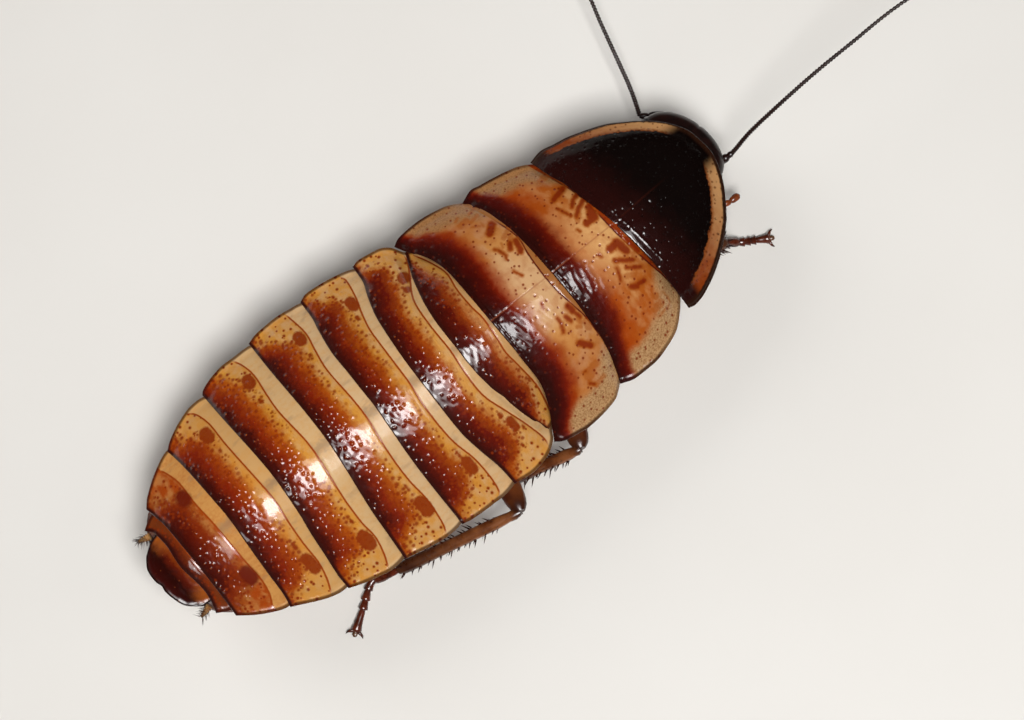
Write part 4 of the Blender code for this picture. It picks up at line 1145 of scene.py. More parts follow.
@dataclass(frozen=True)
class BandedHorn(Finish):
    """Finish of an abdomen plate: cream band, suture, amber with dots, red-brown, near-black rear edge."""

    name: str
    cream: Colour
    amber: Colour
    brown: Colour
    red: Colour
    dark: Colour = tone(60, 10, 4)
    rim: Colour = tone(48, 12, 6)
    flank: Colour = tone(193, 133, 60)
    dot: Colour = tone(128, 42, 4)
    spot: Colour = tone(130, 46, 4)
    suture: Colour = tone(144, 58, 10)
    tip: Colour = tone(176, 84, 30)
    smudge: Colour = tone(134, 108, 84)
    lead: float = 0.0  # how far the dark colours are moved to the front
    dusk: float = 0.0  # how much less amber the left flank is
    spot_edge: tuple[float, float] = (-0.45, 0.35)  # how soft the round spots end
    gloss: Gloss = Gloss(coat_rough=0.12, relief=0.8, depth=0.06, level=0.03)

    def soft_band(self, board: Board, across: Field, fine: Field) -> Field:
        """Colour of the cream skin ahead of the suture, streaked lengthwise and smudged with grey."""
        streak = board.noise(board.place(3.4, 0.7, 1.0), 1.0) - 0.5
        pale = board.math("ADD", streak * 0.9, fine * 0.7 + 0.1, clamp=True)
        cream = board.mix(pale, self.cream, self.flank)
        middle = (fine * 0.7 + across).step(0.55, 0.05)
        cream = board.mix(middle * 0.55, cream, self.smudge)
        grey = board.noise(board.place(2.0, 0.8, 1.0), 1.0, 4.0).step(0.54, 0.72)
        return board.mix(grey * 0.34, cream, self.smudge)

    def horn_band(self, board: Board, effects: Effects, share: Field, across: Field, side: Field) -> Field:
        """Colour of the horn behind the suture, from amber to near-black, with rows of dots and lone ones."""
        band = board.ramp(
            share, ((0.0, self.flank), (0.13, self.amber), (0.36, self.brown), (0.6, self.red), (0.88, self.dark)))
        rows = board.group(effects.dots, Size=0.29, Stretch=1.2, Width=0.5, Share=0.8)
        rows = rows * share.step(0.05, 0.15) * share.step(0.8, 0.5)
        rows = rows * (across.step(0.3, 2.4) * 0.65 + 0.2)
        cloud = board.noise(board.place(1.0, 1.3, 1.0), 1.5, 4.0).step(0.4, 0.7)
        pale = cloud * share.step(0.36, 0.1) * 0.5
        band = board.mix(pale, band, self.cream)
        band = board.mix(rows, band, self.dot)
        lone = board.group(effects.dots, Size=0.46, Width=0.27, Share=0.8)
        return board.mix(lone * side.step(3.4, 1.6), band, self.dot)

    def paint(self, board: Board, effects: Effects) -> Painted:
        """Colour, roughness, height and coat of the plate."""
        place = board.place()
        wobble = board.noise(place, 0.9) - 0.5
        fine = board.noise(place, 5.0) - 0.5
        suture, hem, side = board.attributes("suture", "hem", "side")
        across = abs(board.attribute("across"))
        clear = board.math("MAXIMUM", wobble * 0.1 + suture, 0.0)
        share = clear / (clear + hem + 0.001)
        share = wobble * 0.28 + share + self.lead
        share = fine * 0.22 + share
        # The flanks stay amber almost to the rear edge.
        flank = (wobble * 0.8 + side).step(2.3, 0.2)
        amber = 0.6 - board.attribute("across").step(2.0, 5.0) * self.dusk
        share = share - flank * amber
        horny = (fine * 0.1 + suture).step(-0.03, 0.05)
        band = self.horn_band(board, effects, share, across, side)
        colour = board.mix(horny, self.soft_band(board, across, fine), band)
        away = abs(fine * 0.03 + suture)
        line = away.step(0.09, 0.02) * side.step(0.05, 0.4)
        colour = board.mix(line, colour, self.suture)
        mark = fine * 0.9 + board.attribute("scar")
        colour = board.mix(mark.step(*self.spot_edge) * 0.96, colour, self.spot)
        tips = board.attribute("tip").step(0.5, 0.85)
        colour = board.mix(tips * (wobble * 0.8 + 0.4), colour, self.tip)
        edge = board.math("MAXIMUM", hem.step(0.24, 0.06), side.step(0.16, 0.03) * 0.8)
        colour = board.mix(edge, colour, self.rim)
        rough = board.noise(place, 3.0) * 0.24 + (0.42 - horny * 0.16)
        height = board.group(effects.horn, Size=0.36, Stretch=0.55, Wrinkle=0.75, Grain=0.15)
        height = height * (horny * 0.75 + 0.25)
        coat = (horny * 0.7 + 0.25) * side.step(-0.1, 0.18)
        return colour, rough, height, coat


@dataclass(frozen=True)
class ChestHorn(Finish):
    """Finish of a chest plate: amber with muscle scars and pits, beige flanges, dark hind band."""

    name: str
    amber: Colour
    middle: Colour
    front: Colour
    burnt: Colour = tone(160, 66, 10)
    dark: Colour = tone(66, 9, 4)
    red: Colour = tone(108, 24, 4)
    rim: Colour = tone(40, 8, 5)
    flange: Colour = tone(172, 134, 92)
    scar: Colour = tone(120, 36, 3)
    stain: Colour = tone(150, 74, 18)
    pit: Colour = tone(112, 34, 6)
    speck: Colour = tone(116, 72, 38)
    band: float = 1.8
    burnt_end: float = 1.9  # where the burnt orange ends, in widths of the dark band
    taper: tuple[float, float] = (2.8, 7.6)  # distances from the middle over which the dark band gets narrower
    gloss: Gloss = Gloss(coat=0.62, coat_rough=0.12, relief=0.8, depth=0.045, level=0.03)

    def ground(self, board: Board, across: Field, wobble: Field, hind: Field, outer: Field) -> Field:
        """Amber ground that is paler in the middle and burnt orange ahead of the dark band."""
        patch = board.noise(board.place(0.8, 1.3, 1.0), 0.9).step(0.4, 0.62)
        base = board.mix((wobble * 2.4 + across).step(3.6, 0.6), self.amber, self.middle)
        base = board.mix(patch * 0.65, base, self.middle)
        cloud = board.noise(board.place(), 2.1, 4.0).step(0.42, 0.7)
        base = board.mix(cloud * 0.3, base, self.burnt)
        base = board.mix(across.step(2.6, 5.4) * 0.45, base, self.burnt)
        lobe = across.step(1.6, 3.6) * 0.3
        warm = hind.step(self.burnt_end, 0.95) * (lobe + 0.8)
        return board.mix(warm * (outer * 0.3 + 0.7), base, self.burnt)

    def paint(self, board: Board, effects: Effects) -> Painted:
        """Colour, roughness and height of the plate."""
        place = board.place()
        wobble = board.noise(place, 0.7) - 0.5
        fine = board.noise(place, 4.0) - 0.5
        hem, side, suture = board.attributes("hem", "side", "suture")
        across = abs(board.attribute("across"))
        flange_edge = wobble * 0.7 + fine * 0.25 + side
        outer = flange_edge.step(2.6, 1.5)
        reach = self.band * (1.0 - across.step(*self.taper) * 0.5)
        hind = (wobble * 0.9 + fine * 0.25 + hem) / reach
        base = self.ground(board, across, wobble, hind, outer)
        beige = flange_edge.step(1.65, 1.05) * hind.step(0.45, 1.3)
        dusk = board.attribute("across").step(2.0, 5.0) * 0.7
        flange = board.mix(dusk, self.flange, tone(148, 98, 54))
        sand = board.noise(place, 9.0, 4.0).step(0.42, 0.62) * 0.62
        base = board.mix(beige, base, board.mix(sand, flange, tone(132, 88, 52)))
        dark = hind.step(1.2, 0.72)
        deep = board.mix(hind.step(0.45, 1.0), self.dark, self.red)
        colour = board.mix(dark, base, board.mix(hind.step(0.12, 0.5), self.rim, deep))
        colour = board.mix(suture.step(0.03, -0.03), colour, self.front)
        line = abs(fine * 0.03 + suture).step(0.075, 0.02)
        colour = board.mix(line * across.step(5.2, 4.0), colour, tone(84, 22, 14))
        stain = fine * 0.9 + board.attribute("stain")
        colour = board.mix(stain.step(-0.35, 0.45) * 0.62, colour, self.stain)
        mark = fine * 0.8 + board.attribute("scar")
        shade = board.mix(mark.step(-0.2, 0.7), self.stain, self.scar)
        colour = board.mix(mark.step(-0.75, 0.3) * 0.96, colour, shade)
        middle = across.step(0.075, 0.02) * (dark * 0.15 + 0.35)
        colour = board.mix(middle, colour, tone(136, 72, 46))
        pits = board.attribute("pit").step(0.1, 0.6)
        colour = board.mix(pits * (0.85 - dark * 0.6), colour, self.pit)
        specks = board.group(effects.dots, Size=0.2, Width=0.36, Share=0.6)
        specks = specks * side.step(1.7, 0.9) * hind.step(0.6, 1.3)
        colour = board.mix(specks * 0.42, colour, self.speck)
        edge = side.step(0.17, 0.03) * (hem.step(4.0, 2.0) * 0.4 + 0.5)
        colour = board.mix(edge, colour, self.rim)
        rough = board.noise(place, 3.0) * 0.22 + 0.24
        height = board.group(effects.horn, Size=0.4, Stretch=0.5, Wrinkle=0.75, Grain=0.15)
        height = height * (dark * 0.8 + 0.2)
        return colour, rough, height


@dataclass(frozen=True)
class ShieldHorn(Finish):
    """Finish of the neck shield: near-black maroon with a cream margin that turns orange to the rear."""

    name: str = "shield_horn"
    black: Colour = tone(10, 4, 3)
    warm: Colour = tone(34, 8, 6)
    cream: Colour = tone(174, 128, 82)
    orange: Colour = tone(122, 50, 12)
    rim: Colour = tone(40, 20, 10)
    gloss: Gloss = Gloss(coat=0.7, coat_rough=0.07, relief=0.9, depth=0.1, level=0.04)

    def paint(self, board: Board, effects: Effects) -> Painted:
        """Colour, roughness, height and coat of the shield."""
        place = board.place()
        wobble = board.noise(place, 1.6) - 0.5
        fine = board.noise(place, 5.0) - 0.5
        rim, hem, across = board.attributes("rim", "hem", "across")
        base = board.mix((wobble * 1.6 + hem).step(3.4, 0.4), self.black, self.warm)
        line = abs(across).step(0.1, 0.0) * hem.step(4.5, 2.0)
        base = board.mix(line * 0.35, base, tone(60, 20, 10))
        # The margin is wider on the animal's right, and gone in the middle of the front and at the hind corners.
        left = across.step(-1.5, 1.5)
        inner = 0.94 - left * 0.22
        inner = inner - left * 0.2 * hem.step(5.0, 1.6)
        edge = wobble * 0.22 + fine * 0.26 + rim
        outer = fine * 0.1 + rim - (0.22 - left * 0.1)
        band = (inner - edge).step(-0.04, 0.07) * outer.step(-0.05, 0.05)
        away = abs(across - 0.55)
        band = band * away.step(1.1, 2.2) * hem.step(0.7, 1.35)
        specks = board.group(effects.dots, Size=0.42, Width=0.22, Share=0.75)
        cream = board.mix((wobble * 2.6 + hem).step(6.2, 1.4), self.cream, self.orange)
        cream = board.mix((inner - edge).step(0.26, 0.0), cream, tone(122, 62, 24))
        cream = board.mix(specks * 0.75, cream, tone(84, 36, 14))
        colour = board.mix(rim.step(0.42, 0.1), base, self.rim)
        colour = board.mix(band, colour, cream)
        rough = board.noise(place, 2.5) * 0.2 + 0.16
        height = board.group(effects.horn, Size=0.5, Wrinkle=0.12, Grain=0.05)
        holes = board.group(effects.dots, Size=0.56, Width=0.13, Share=0.85)
        return colour, rough, height - holes, rim.step(0.4, 2.6) * 0.75 + 0.15


@dataclass
class Back:
    """All plates of the back."""

    bench: Bench

    def build(self) -> None:
        """Models and dresses the plates from front to rear."""
        effects = self.bench.effects
        shield = NeckShield("pronotum", puff=0.0, bead=0.035, pits=0.042, seed=3)
        shield.build(self.bench, ShieldHorn().material(effects), Slot.SHIELD)
        chest = {
            "mesonotum": ChestHorn(
                "chest_horn_front", tone(162, 86, 26), tone(200, 150, 94), tone(126, 46, 8), burnt=tone(150, 58, 8)
            ),
            "metanotum": ChestHorn(
                "chest_horn_rear", tone(188, 130, 70), tone(194, 152, 108), tone(146, 92, 46), red=tone(126, 30, 4),
                burnt=tone(148, 62, 12), burnt_end=1.4, taper=(5.0, 8.2), band=1.9,
            ),
        }
        for number, (name, horn) in enumerate(chest.items()):
            plate = BackPlate(name, bead=0.05, smooth=0.5, keel=0.022, pits=0.032, marks=1.3, seed=11 + number)
            plate.build(self.bench, horn.material(effects), Slot.CHEST)
        # Cream, amber, brown and red of each plate, and the share of its places that carry a granule.
        tones = (
            ((181, 138, 90), (180, 116, 60), (142, 60, 14), (90, 17, 4), 0.35),
            ((194, 157, 112), (196, 138, 66), (150, 64, 8), (98, 18, 3), 0.55),
            ((194, 159, 116), (192, 128, 48), (150, 66, 8), (108, 24, 3), 0.75),
            ((194, 160, 118), (196, 134, 52), (156, 70, 8), (120, 30, 4), 0.8),
            ((194, 157, 110), (198, 134, 48), (160, 72, 8), (126, 34, 3), 0.8),
            ((190, 146, 92), (193, 125, 47), (152, 62, 8), (122, 30, 3), 0.8),
            ((189, 134, 72), (146, 68, 18), (120, 38, 6), (90, 20, 4), 0.6),
            ((110, 48, 16), (108, 42, 11), (92, 32, 8), (78, 24, 7), 0.0),
        )
        own = {
            1: {"lead": 0.06}, 5: {"dusk": 0.38}, 6: {"dusk": 0.2},
            7: {"flank": tone(154, 62, 9), "spot": tone(98, 24, 5), "spot_edge": (-1.0, 0.6)},
            8: {"flank": tone(110, 46, 12)},
        }
        folds = {1: 0.6, 8: 0.35}
        for number, (*colours, grains) in enumerate(tones, 1):
            horn = BandedHorn(f"horn_{number}", *(tone(*colour) for colour in colours), **own.get(number, {}))
            plate = BackPlate(
                f"tergite_{number}", puff=0.04 if number in folds else 0.1, grains=grains,
                fold=folds.get(number, 0.85), seed=20 + number,
            )
            plate.build(self.bench, horn.material(effects), Slot.BACK)


# ---- finishes of the limbs and the underside


@dataclass(frozen=True)
class LimbHorn(Finish):
    """Finish of a limb, the head or the belly: one horn with darker ends, mottling and fine grain."""

    name: str
    base: Colour
    deep: Colour
    ends: Colour
    dark_root: float = 0.1
    dark_tip: float = 0.86
    mottle: float = 1.6  # swells of its colour in a millimetre
    gloss: Gloss = Gloss(rough=0.34, coat=0.7, coat_rough=0.16, relief=0.3, depth=0.02)

    def paint(self, board: Board, effects: Effects) -> Painted:
        """Colour, roughness and height of the limb."""
        place = board.place()
        patch = board.noise(place, self.mottle, 4.0).step(0.38, 0.66)
        colour = board.mix(patch, self.base, self.deep)
        share = board.attribute("along")  # from 0 at the root to 1 at the tip
        tips = board.math("MAXIMUM", share.step(self.dark_root, 0.0), share.step(self.dark_tip, 1.0))
        colour = board.mix(tips * 0.8, colour, self.ends)
        specks = board.group(effects.specks, Size=0.22, Width=0.22, Share=0.4)
        colour = board.mix(specks * 0.35, colour, self.ends)
        rough = board.noise(place, 4.0) * 0.25 + (self.gloss.rough - 0.12)
        return colour, rough, board.group(effects.horn, Size=0.3, Wrinkle=0.5, Grain=0.25)


@dataclass(frozen=True)
class FacetedEye(Finish):
    """Finish of a compound eye: black with fine six-sided lenses."""

    name: str = "eye_lenses"
    lenses: float = 22.0  # in a millimetre
    gloss: Gloss = Gloss(coat=0.9, coat_rough=0.08, relief=0.7, depth=0.012)

    def paint(self, board: Board, effects: Effects) -> Painted:
        """Colour, roughness and height of the lenses."""
        place = board.place()
        cells = board.out(board.cells(place, self.lenses), "Distance")
        shade = board.mix(board.noise(place, 1.6, 2.0), tone(14, 9, 12), tone(34, 20, 22))
        colour = board.mix(cells.step(0.25, 0.7), shade, tone(6, 4, 6))
        return colour, cells * 0.2 + 0.18, 1.0 - cells


@dataclass(frozen=True)
class EndHorn(Finish):
    """Finish of the last back plate: red-brown, amber in the front corners, darker in the middle and at the rim."""

    name: str = "end_horn"
    gloss: Gloss = Gloss(coat=0.8, coat_rough=0.2, relief=0.6, depth=0.05, level=0.03)

    def paint(self, board: Board, effects: Effects) -> Painted:
        """Colour, roughness and height of the plate."""
        fine = board.noise(board.place(), 3.0, 4.0) - 0.5
        front = fine * 0.5 + board.attribute("front")
        stops = ((0.0, tone(136, 58, 10)), (0.22, tone(88, 22, 5)), (0.45, tone(38, 5, 2)), (1.0, tone(58, 8, 4)))
        colour = board.ramp(front / 2.0, stops)
        corner = abs(board.attribute("across")).step(1.1, 2.0) * front.step(1.1, 0.2)
        colour = board.mix(corner * 0.7, colour, tone(160, 84, 26))
        colour = board.mix(board.attribute("hem").step(0.22, 0.06), colour, tone(30, 9, 6))
        specks = board.group(effects.specks, Size=0.26, Width=0.24, Share=0.5)
        colour = board.mix(specks * 0.4, colour, tone(150, 80, 36))
        return colour, fine * 0.3 + 0.34, board.group(effects.horn, Size=0.3, Wrinkle=0.7, Grain=0.4)


@dataclass(frozen=True)
class FloorPaper(Finish):
    """Finish of the floor: a faint paper tone."""

    name: str = "floor_paper"
    gloss: Gloss = Gloss(rough=0.7, coat=0.0, relief=0.05)

    def paint(self, board: Board, effects: Effects | None) -> Painted:
        """Colour, roughness and height of the floor."""
        place = board.place()
        colour = board.mix(board.noise(place, 0.05), tone(214, 210, 204), tone(222, 219, 214))
        return colour, self.gloss.rough, board.noise(place, 2.0, 2.0)


# ---- head and its parts


@dataclass
class Head:
    """Head capsule under the hood, with eyes, sockets, mouthparts and palps."""

    bench: Bench
    # Cross-sections from the crown down: height, shift back, half width, half depth.
    sections: tuple[tuple[float, float, float, float], ...] = (
        (4.74, 0.06, 0.8, 0.4), (4.7, 0.05, 1.6, 0.95), (4.48, 0.0, 2.42, 1.45), (4.0, -0.02, 2.82, 1.72),
        (3.3, 0.03, 2.86, 1.76), (2.7, 0.3, 2.58, 1.56), (2.15, 0.6, 2.15, 1.32), (1.65, 0.95, 1.75, 1.06),
        (1.2, 1.25, 1.4, 0.86), (0.8, 1.5, 1.1, 0.62), (0.62, 1.58, 0.7, 0.34),
    )
    around: int = 160  # corners of each cross-section

    def build(self) -> None:
        """Models and dresses the head's pieces."""
        horn = LimbHorn(
            "head_horn", tone(30, 12, 9), tone(16, 7, 6), tone(58, 24, 12), dark_root=0.0, dark_tip=0.62,
            gloss=Gloss(rough=0.34, coat=0.45, coat_rough=0.14, relief=0.35, depth=0.03, level=0.1),
        ).material(self.bench.effects)
        self.capsule(horn)
        self.eyes()
        self.mouth()
        self.palps()

    def capsule(self, horn: bpy.types.Material) -> None:
        """Head capsule with brow, frons and cheeks, drawn down from the crown."""
        shape = bmesh.new()
        frames = [
            Matrix.Translation(head_point(0.0, -back, height)) @ HEAD_TURN @ Matrix.Diagonal((half, deep, 1.0, 1.0))
            for height, back, half, deep in smooth_line(self.sections, 8)
        ]
        drawn(shape, frames, self.around)
        left, ahead = HEAD_TURN.col[0].xyz, -HEAD_TURN.col[1].xyz
        for vert in shape.verts:
            off = vert.co - HEAD_MIDDLE
            vert.co += ahead * self.relief(abs(off.dot(left)), off.dot(ahead), vert.co.z)
        self.bench.piece("head_capsule", shape, horn, Slot.HEAD, ["head"])
        neck = tube(
            [
                head_point(0.0, -0.4, 3.4), head_point(0.0, -1.2, 3.42), Vector((-0.33, -18.4, 3.45)),
                Vector((-0.42, -17.7, 3.45)),
            ],
            [1.2, 1.0, 1.08, 1.2], sides=24,
        )
        skin = LimbHorn("neck_skin", tone(150, 118, 84), tone(118, 84, 56), tone(70, 40, 26), mottle=2.4)
        self.bench.piece("neck_skin", neck, skin.material(self.bench.effects), Slot.HEAD)

    @staticmethod
    def relief(side: float, fore: float, level: float) -> float:
        """How far the face is pushed out at a place.

        Args:
            side: distance from the head's midline.
            fore: distance ahead of its middle.
            level: height over the floor.

        Returns:
            The push in millimetres, negative in a groove.
        """
        socket = math.hypot(side - 2.05, level - 2.75)
        cheek = -0.09 * bell(side, 0.95 + (3.2 - level) * 0.18, 0.22) * bell(level, 2.7, 0.8)
        mouth = -0.1 * bell(level, 1.98, 0.07) * math.exp(-((side / 1.3) ** 4))
        lip = -0.1 * bell(level, 1.42, 0.06) * math.exp(-((side / 1.0) ** 4))
        seat = 0.07 * bell(socket, 0.52, 0.11) - 0.1 * math.exp(-(socket**2) / 0.1)
        midline = -0.07 * bell(side, 0.0, 0.1) * bell(level, 3.9, 0.6)
        arms = -0.06 * bell(side - (3.45 - level) * 1.1, 0.0, 0.11) * bell(level, 3.05, 0.28)
        return (cheek + mouth + lip + seat + midline + arms) * max(0.0, min(1.0, (fore + 0.6) / 0.9))

    def eyes(self) -> None:
        """Compound eyes that wrap the sides of the head, and the pale spots above the feelers."""
        lenses = FacetedEye().material()
        spot_horn = LimbHorn("eyespot_horn", tone(206, 178, 130), tone(182, 146, 96), tone(150, 110, 66), mottle=3.0)
        spots = bmesh.new()
        for side in Side:
            shape = bmesh.new()
            centre = head_point(2.66 * side.value, -0.35, 3.6)
            for vert in ball(shape, centre, (0.42, 0.72, 0.78), HEAD_TURN, 32):
                off = vert.co - centre
                # The lower front of the eye is drawn in round the feeler's socket.
                notch = max(0.0, -off.z) * max(0.0, -off.y)
                vert.co -= off * min(0.35, notch * 0.9)
            self.bench.piece(f"{side.word}_compound_eye", shape, lenses, Slot.EYE, [f"{side.word}_eye"])
            place = head_point(1.78 * side.value, 1.29, 3.46)
            slant = Matrix.Rotation(math.radians(25.0 * side.value), 4, "Z")
            ball(spots, place, (0.25, 0.13, 0.21), HEAD_TURN @ slant, 18)
        self.bench.piece("pale_eyespots", spots, spot_horn.material(self.bench.effects), Slot.EYE)

    def mouth(self) -> None:
        """Shield above the mouth, upper lip and the two toothed jaws."""
        lip_horn = LimbHorn("lip_horn", tone(110, 58, 28), tone(80, 36, 16), tone(48, 20, 10), mottle=2.2)
        jaw_horn = LimbHorn("jaw_horn", tone(60, 24, 12), tone(36, 14, 8), tone(12, 6, 5), mottle=2.2, dark_tip=0.5)
        effects = self.bench.effects
        # Cross-sections: distance ahead, height, half width, half depth.
        lips = {
            "clypeus": (
                (0.52, 2.02, 1.02, 0.16), (0.4, 1.8, 1.08, 0.22), (0.18, 1.55, 1.0, 0.2), (0.0, 1.4, 0.86, 0.14),
            ),
            "labrum": (
                (-0.06, 1.36, 0.8, 0.12), (-0.2, 1.12, 0.84, 0.17), (-0.42, 0.86, 0.7, 0.14),
                (-0.62, 0.66, 0.36, 0.06),
            ),
        }
        for name, rows in lips.items():
            fores, levels, widths, depths = zip(*rows)
            path = [head_point(0.0, fore, level) for fore, level in zip(fores, levels)]
            self.bench.piece(name, tube(path, widths, depths, 28), lip_horn.material(effects), Slot.HEAD)
        jaw = ((1.5, -0.5, 1.6), (1.42, -0.52, 1.2), (1.05, -0.72, 0.82), (0.45, -0.95, 0.6), (0.08, -1.02, 0.56))
        for side in Side:
            shape = bmesh.new()
            sign = side.value
            path = [head_point(sign * out, fore, level) for out, fore, level in jaw]
            tube(path, [0.3, 0.36, 0.32, 0.22, 0.05], [0.3, 0.4, 0.3, 0.18, 0.05], sides=14, base=shape)
            for step in range(3):
                root = head_point(sign * (0.62 - 0.2 * step), -0.8 - 0.06 * step, 0.7 - 0.05 * step)
                thorn(shape, root, head_point(0.0, -0.9, 0.4) - root, 0.26, 0.09, 6)
            self.bench.piece(f"{side.word}_mandible", shape, jaw_horn.material(effects), Slot.HEAD)

    def palps(self) -> None:
        """Long five-jointed palps beside the mouth and short three-jointed ones behind it."""
        horn = LimbHorn("palp_horn", tone(132, 62, 24), tone(100, 42, 14), tone(64, 26, 12), dark_tip=0.95, mottle=2.6)
        material = horn.material(self.bench.effects)
        # Places from root to tip, half width and number of joints.
        plans = {
            "right_maxillary_palp": (
                ((-2.01, -19.31, 1.15), (-2.75, -19.25, 1.6), (-3.5, -19.35, 1.85), (-3.98, -20.15, 1.85),
                 (-4.08, -21.15, 1.62)), 0.24, 5),
            "left_maxillary_palp": (
                ((1.82, -18.57, 1.15), (2.35, -18.95, 1.5), (2.65, -19.6, 1.65), (2.5, -20.3, 1.5),
                 (2.2, -20.85, 1.25)), 0.25, 5),
            "right_labial_palp": (
                ((-0.92, -17.62, 1.05), (-1.0, -17.35, 1.0), (-1.05, -17.05, 0.9), (-1.1, -16.75, 0.75),
                 (-1.1, -16.45, 0.55)), 0.22, 3),
            "left_labial_palp": (
                ((0.16, -17.41, 1.05), (0.12, -17.15, 1.0), (0.06, -16.9, 0.9), (0.0, -16.65, 0.75),
                 (-0.05, -16.4, 0.55)), 0.22, 3),
        }
        for name, (points, girth, joints) in plans.items():
            line = walk(smooth_line(points), np.linspace(0.0, 1.0, joints * 6 + 1))
            widths = []
            for i in range(len(line)):
                club = i > (joints - 1) * 6
                table = (0.7, 0.86, 0.94, 1.0, 1.02, 0.88) if club else (0.5, 0.66, 0.72, 0.78, 0.84, 0.78)
                widths.append(girth * table[i % 6])
            widths[-1] = girth * 0.35
            shape = tube([Vector(point) for point in line], widths, sides=14)
            self.bench.piece(f"{name}_joints", shape, material, Slot.LEG, [name])


# ---- feelers, tail feelers and legs


# Place of each socket in the head's own frame, and the places that the flagellum runs through.
FEELERS = {
    Side.RIGHT: ((-2.25, 0.85, 3.0), (
        (-2.03, -22.2, 3.55), (-1.98, -22.7, 3.85), (-1.84, -23.79, 4.25), (-1.8, -25.38, 4.7),
        (-1.8, -28.5, 5.4), (-1.92, -31.53, 5.9), (-2.15, -35.6, 6.3), (-3.1, -40.0, 6.3),
        (-5.0, -44.8, 5.6), (-6.6, -47.6, 5.0),
    )),
    Side.LEFT: ((2.05, 1.3, 2.45), (
        (3.45, -19.65, 2.6), (5.09, -20.31, 2.75), (7.2, -20.94, 2.95), (10.0, -21.8, 3.0),
        (14.2, -23.3, 3.0), (18.6, -25.3, 2.9), (22.8, -27.9, 2.8), (25.4, -30.0, 2.7),
    )),
}


@dataclass
class Feeler:
    """One antenna: a shiny first joint, a short second one and a flagellum of many beads."""

    bench: Bench
    side: Side
    socket: tuple[float, float, float]
    points: tuple[tuple[float, float, float], ...]
    bead: float = 0.27  # length of a bead near the base
    girth: float = 0.155
    tip_girth: float = 0.085

    def build(self, horn: bpy.types.Material, base_horn: bpy.types.Material) -> None:
        """Models and dresses the antenna."""
        root = head_point(*self.socket)
        tip = Vector(self.points[0])
        joint = tip + (tip - root).normalized() * 0.04
        shares = (0.0, 0.1, 0.22, 0.4, 0.55, 0.64, 0.68, 0.72, 0.82, 0.92, 1.0)
        widths = (0.16, 0.22, 0.26, 0.27, 0.25, 0.2, 0.14, 0.18, 0.2, 0.18, 0.12)
        scape = tube([root.lerp(joint, share) for share in shares], widths, sides=18)
        self.bench.piece(f"{self.side.word}_scape_joints", scape, base_horn, Slot.FEELER, [f"{self.side.word}_scape"])
        line = smooth_line(self.points, 40)
        length = float(np.linalg.norm(np.diff(line, axis=0), axis=1).sum())
        count = int(length / self.bead / 0.86)
        # Beads get longer and slimmer towards the tip.
        ends = np.concatenate([[0.0], np.cumsum(np.linspace(0.62, 1.35, count))])
        ends /= ends[-1]
        shares, girths = [], []
        for number, (first, last) in enumerate(zip(ends, ends[1:])):
            grow = self.girth + (self.tip_girth - self.girth) * number / count
            for part, swell in ((0.04, 0.7), (0.4, 1.0), (0.72, 1.06), (0.97, 0.72)):
                shares.append(first + (last - first) * part)
                girths.append(grow * swell)
        girths[-1] *= 0.4
        path = [Vector(point) for point in walk(line, np.array(shares))]
        flagellum = tube(path, girths, sides=8)
        word = self.side.word
        self.bench.piece(f"{word}_flagellum_beads", flagellum, horn, Slot.FEELER, [f"{word}_flagellum"])


@dataclass(frozen=True)
class LegPlan:
    """Places of one leg's joints, and how many spines its tibia has."""

    hip: tuple[float, float, float]
    trochanter: tuple[float, float, float]
    thigh: tuple[float, float, float]
    knee: tuple[float, float, float]
    ankle: tuple[float, float, float]
    sole: tuple[float, float, float]
    toe: tuple[float, float, float]
    spines: int


LEGS = {
    "right_fore": LegPlan((-2.3, -16.05, 1.95), (-3.0, -12.3, 1.6), (-3.95, -12.2, 1.5), (-5.15, -16.0, 2.6),
                          (-5.67, -18.7, 1.0), (-6.25, -19.5, 0.2), (-7.2, -20.95, 0.2), 8),
    "left_fore": LegPlan((0.77, -16.05, 1.95), (1.45, -12.3, 1.6), (2.4, -12.2, 1.5), (3.6, -15.6, 2.6),
                         (3.45, -17.9, 1.0), (3.2, -18.75, 0.2), (1.75, -19.95, 0.2), 8),
    "right_mid": LegPlan((-2.24, -10.15, 1.95), (-4.43, -5.9, 1.4), (-4.95, -5.66, 1.59), (-9.55, -3.64, 3.2),
                         (-8.2, 0.47, 0.95), (-7.8, 1.7, 0.2), (-7.1, 3.75, 0.2), 8),
    "left_mid": LegPlan((0.85, -10.15, 1.95), (3.13, -5.9, 1.4), (3.5, -5.47, 1.55), (6.75, -1.7, 3.0),
                        (6.9, 2.55, 0.95), (6.8, 3.8, 0.2), (6.45, 5.95, 0.2), 8),
    "right_hind": LegPlan((-2.2, -5.43, 1.95), (-3.66, -0.06, 1.25), (-4.26, 0.11, 1.3), (-10.05, 1.55, 3.4),
                          (-7.75, 9.5, 1.05), (-7.2, 11.3, 0.2), (-8.85, 13.95, 0.2), 10),
    "left_hind": LegPlan((0.85, -5.43, 1.95), (2.6, -0.06, 1.25), (3.04, 0.31, 1.2), (7.3, 3.9, 2.5),
                         (6.35, 11.3, 1.0), (5.85, 13.2, 0.2), (5.0, 16.5, 0.2), 10),
}


def girth_at(table: Sequence[tuple[float, float, float]], count: int) -> list[tuple[float, float, float]]:
    """Smooth run through a table of share, half width and half height.

    Args:
        table: the given cross-sections.
        count: how many cross-sections to give back.

    Returns:
        That many cross-sections at even shares.
    """
    dense = smooth_line(table, 12)
    shares = np.linspace(0.0, 1.0, count)
    return [tuple(float(np.interp(share, dense[:, 0], dense[:, i])) for i in range(3)) for share in shares]


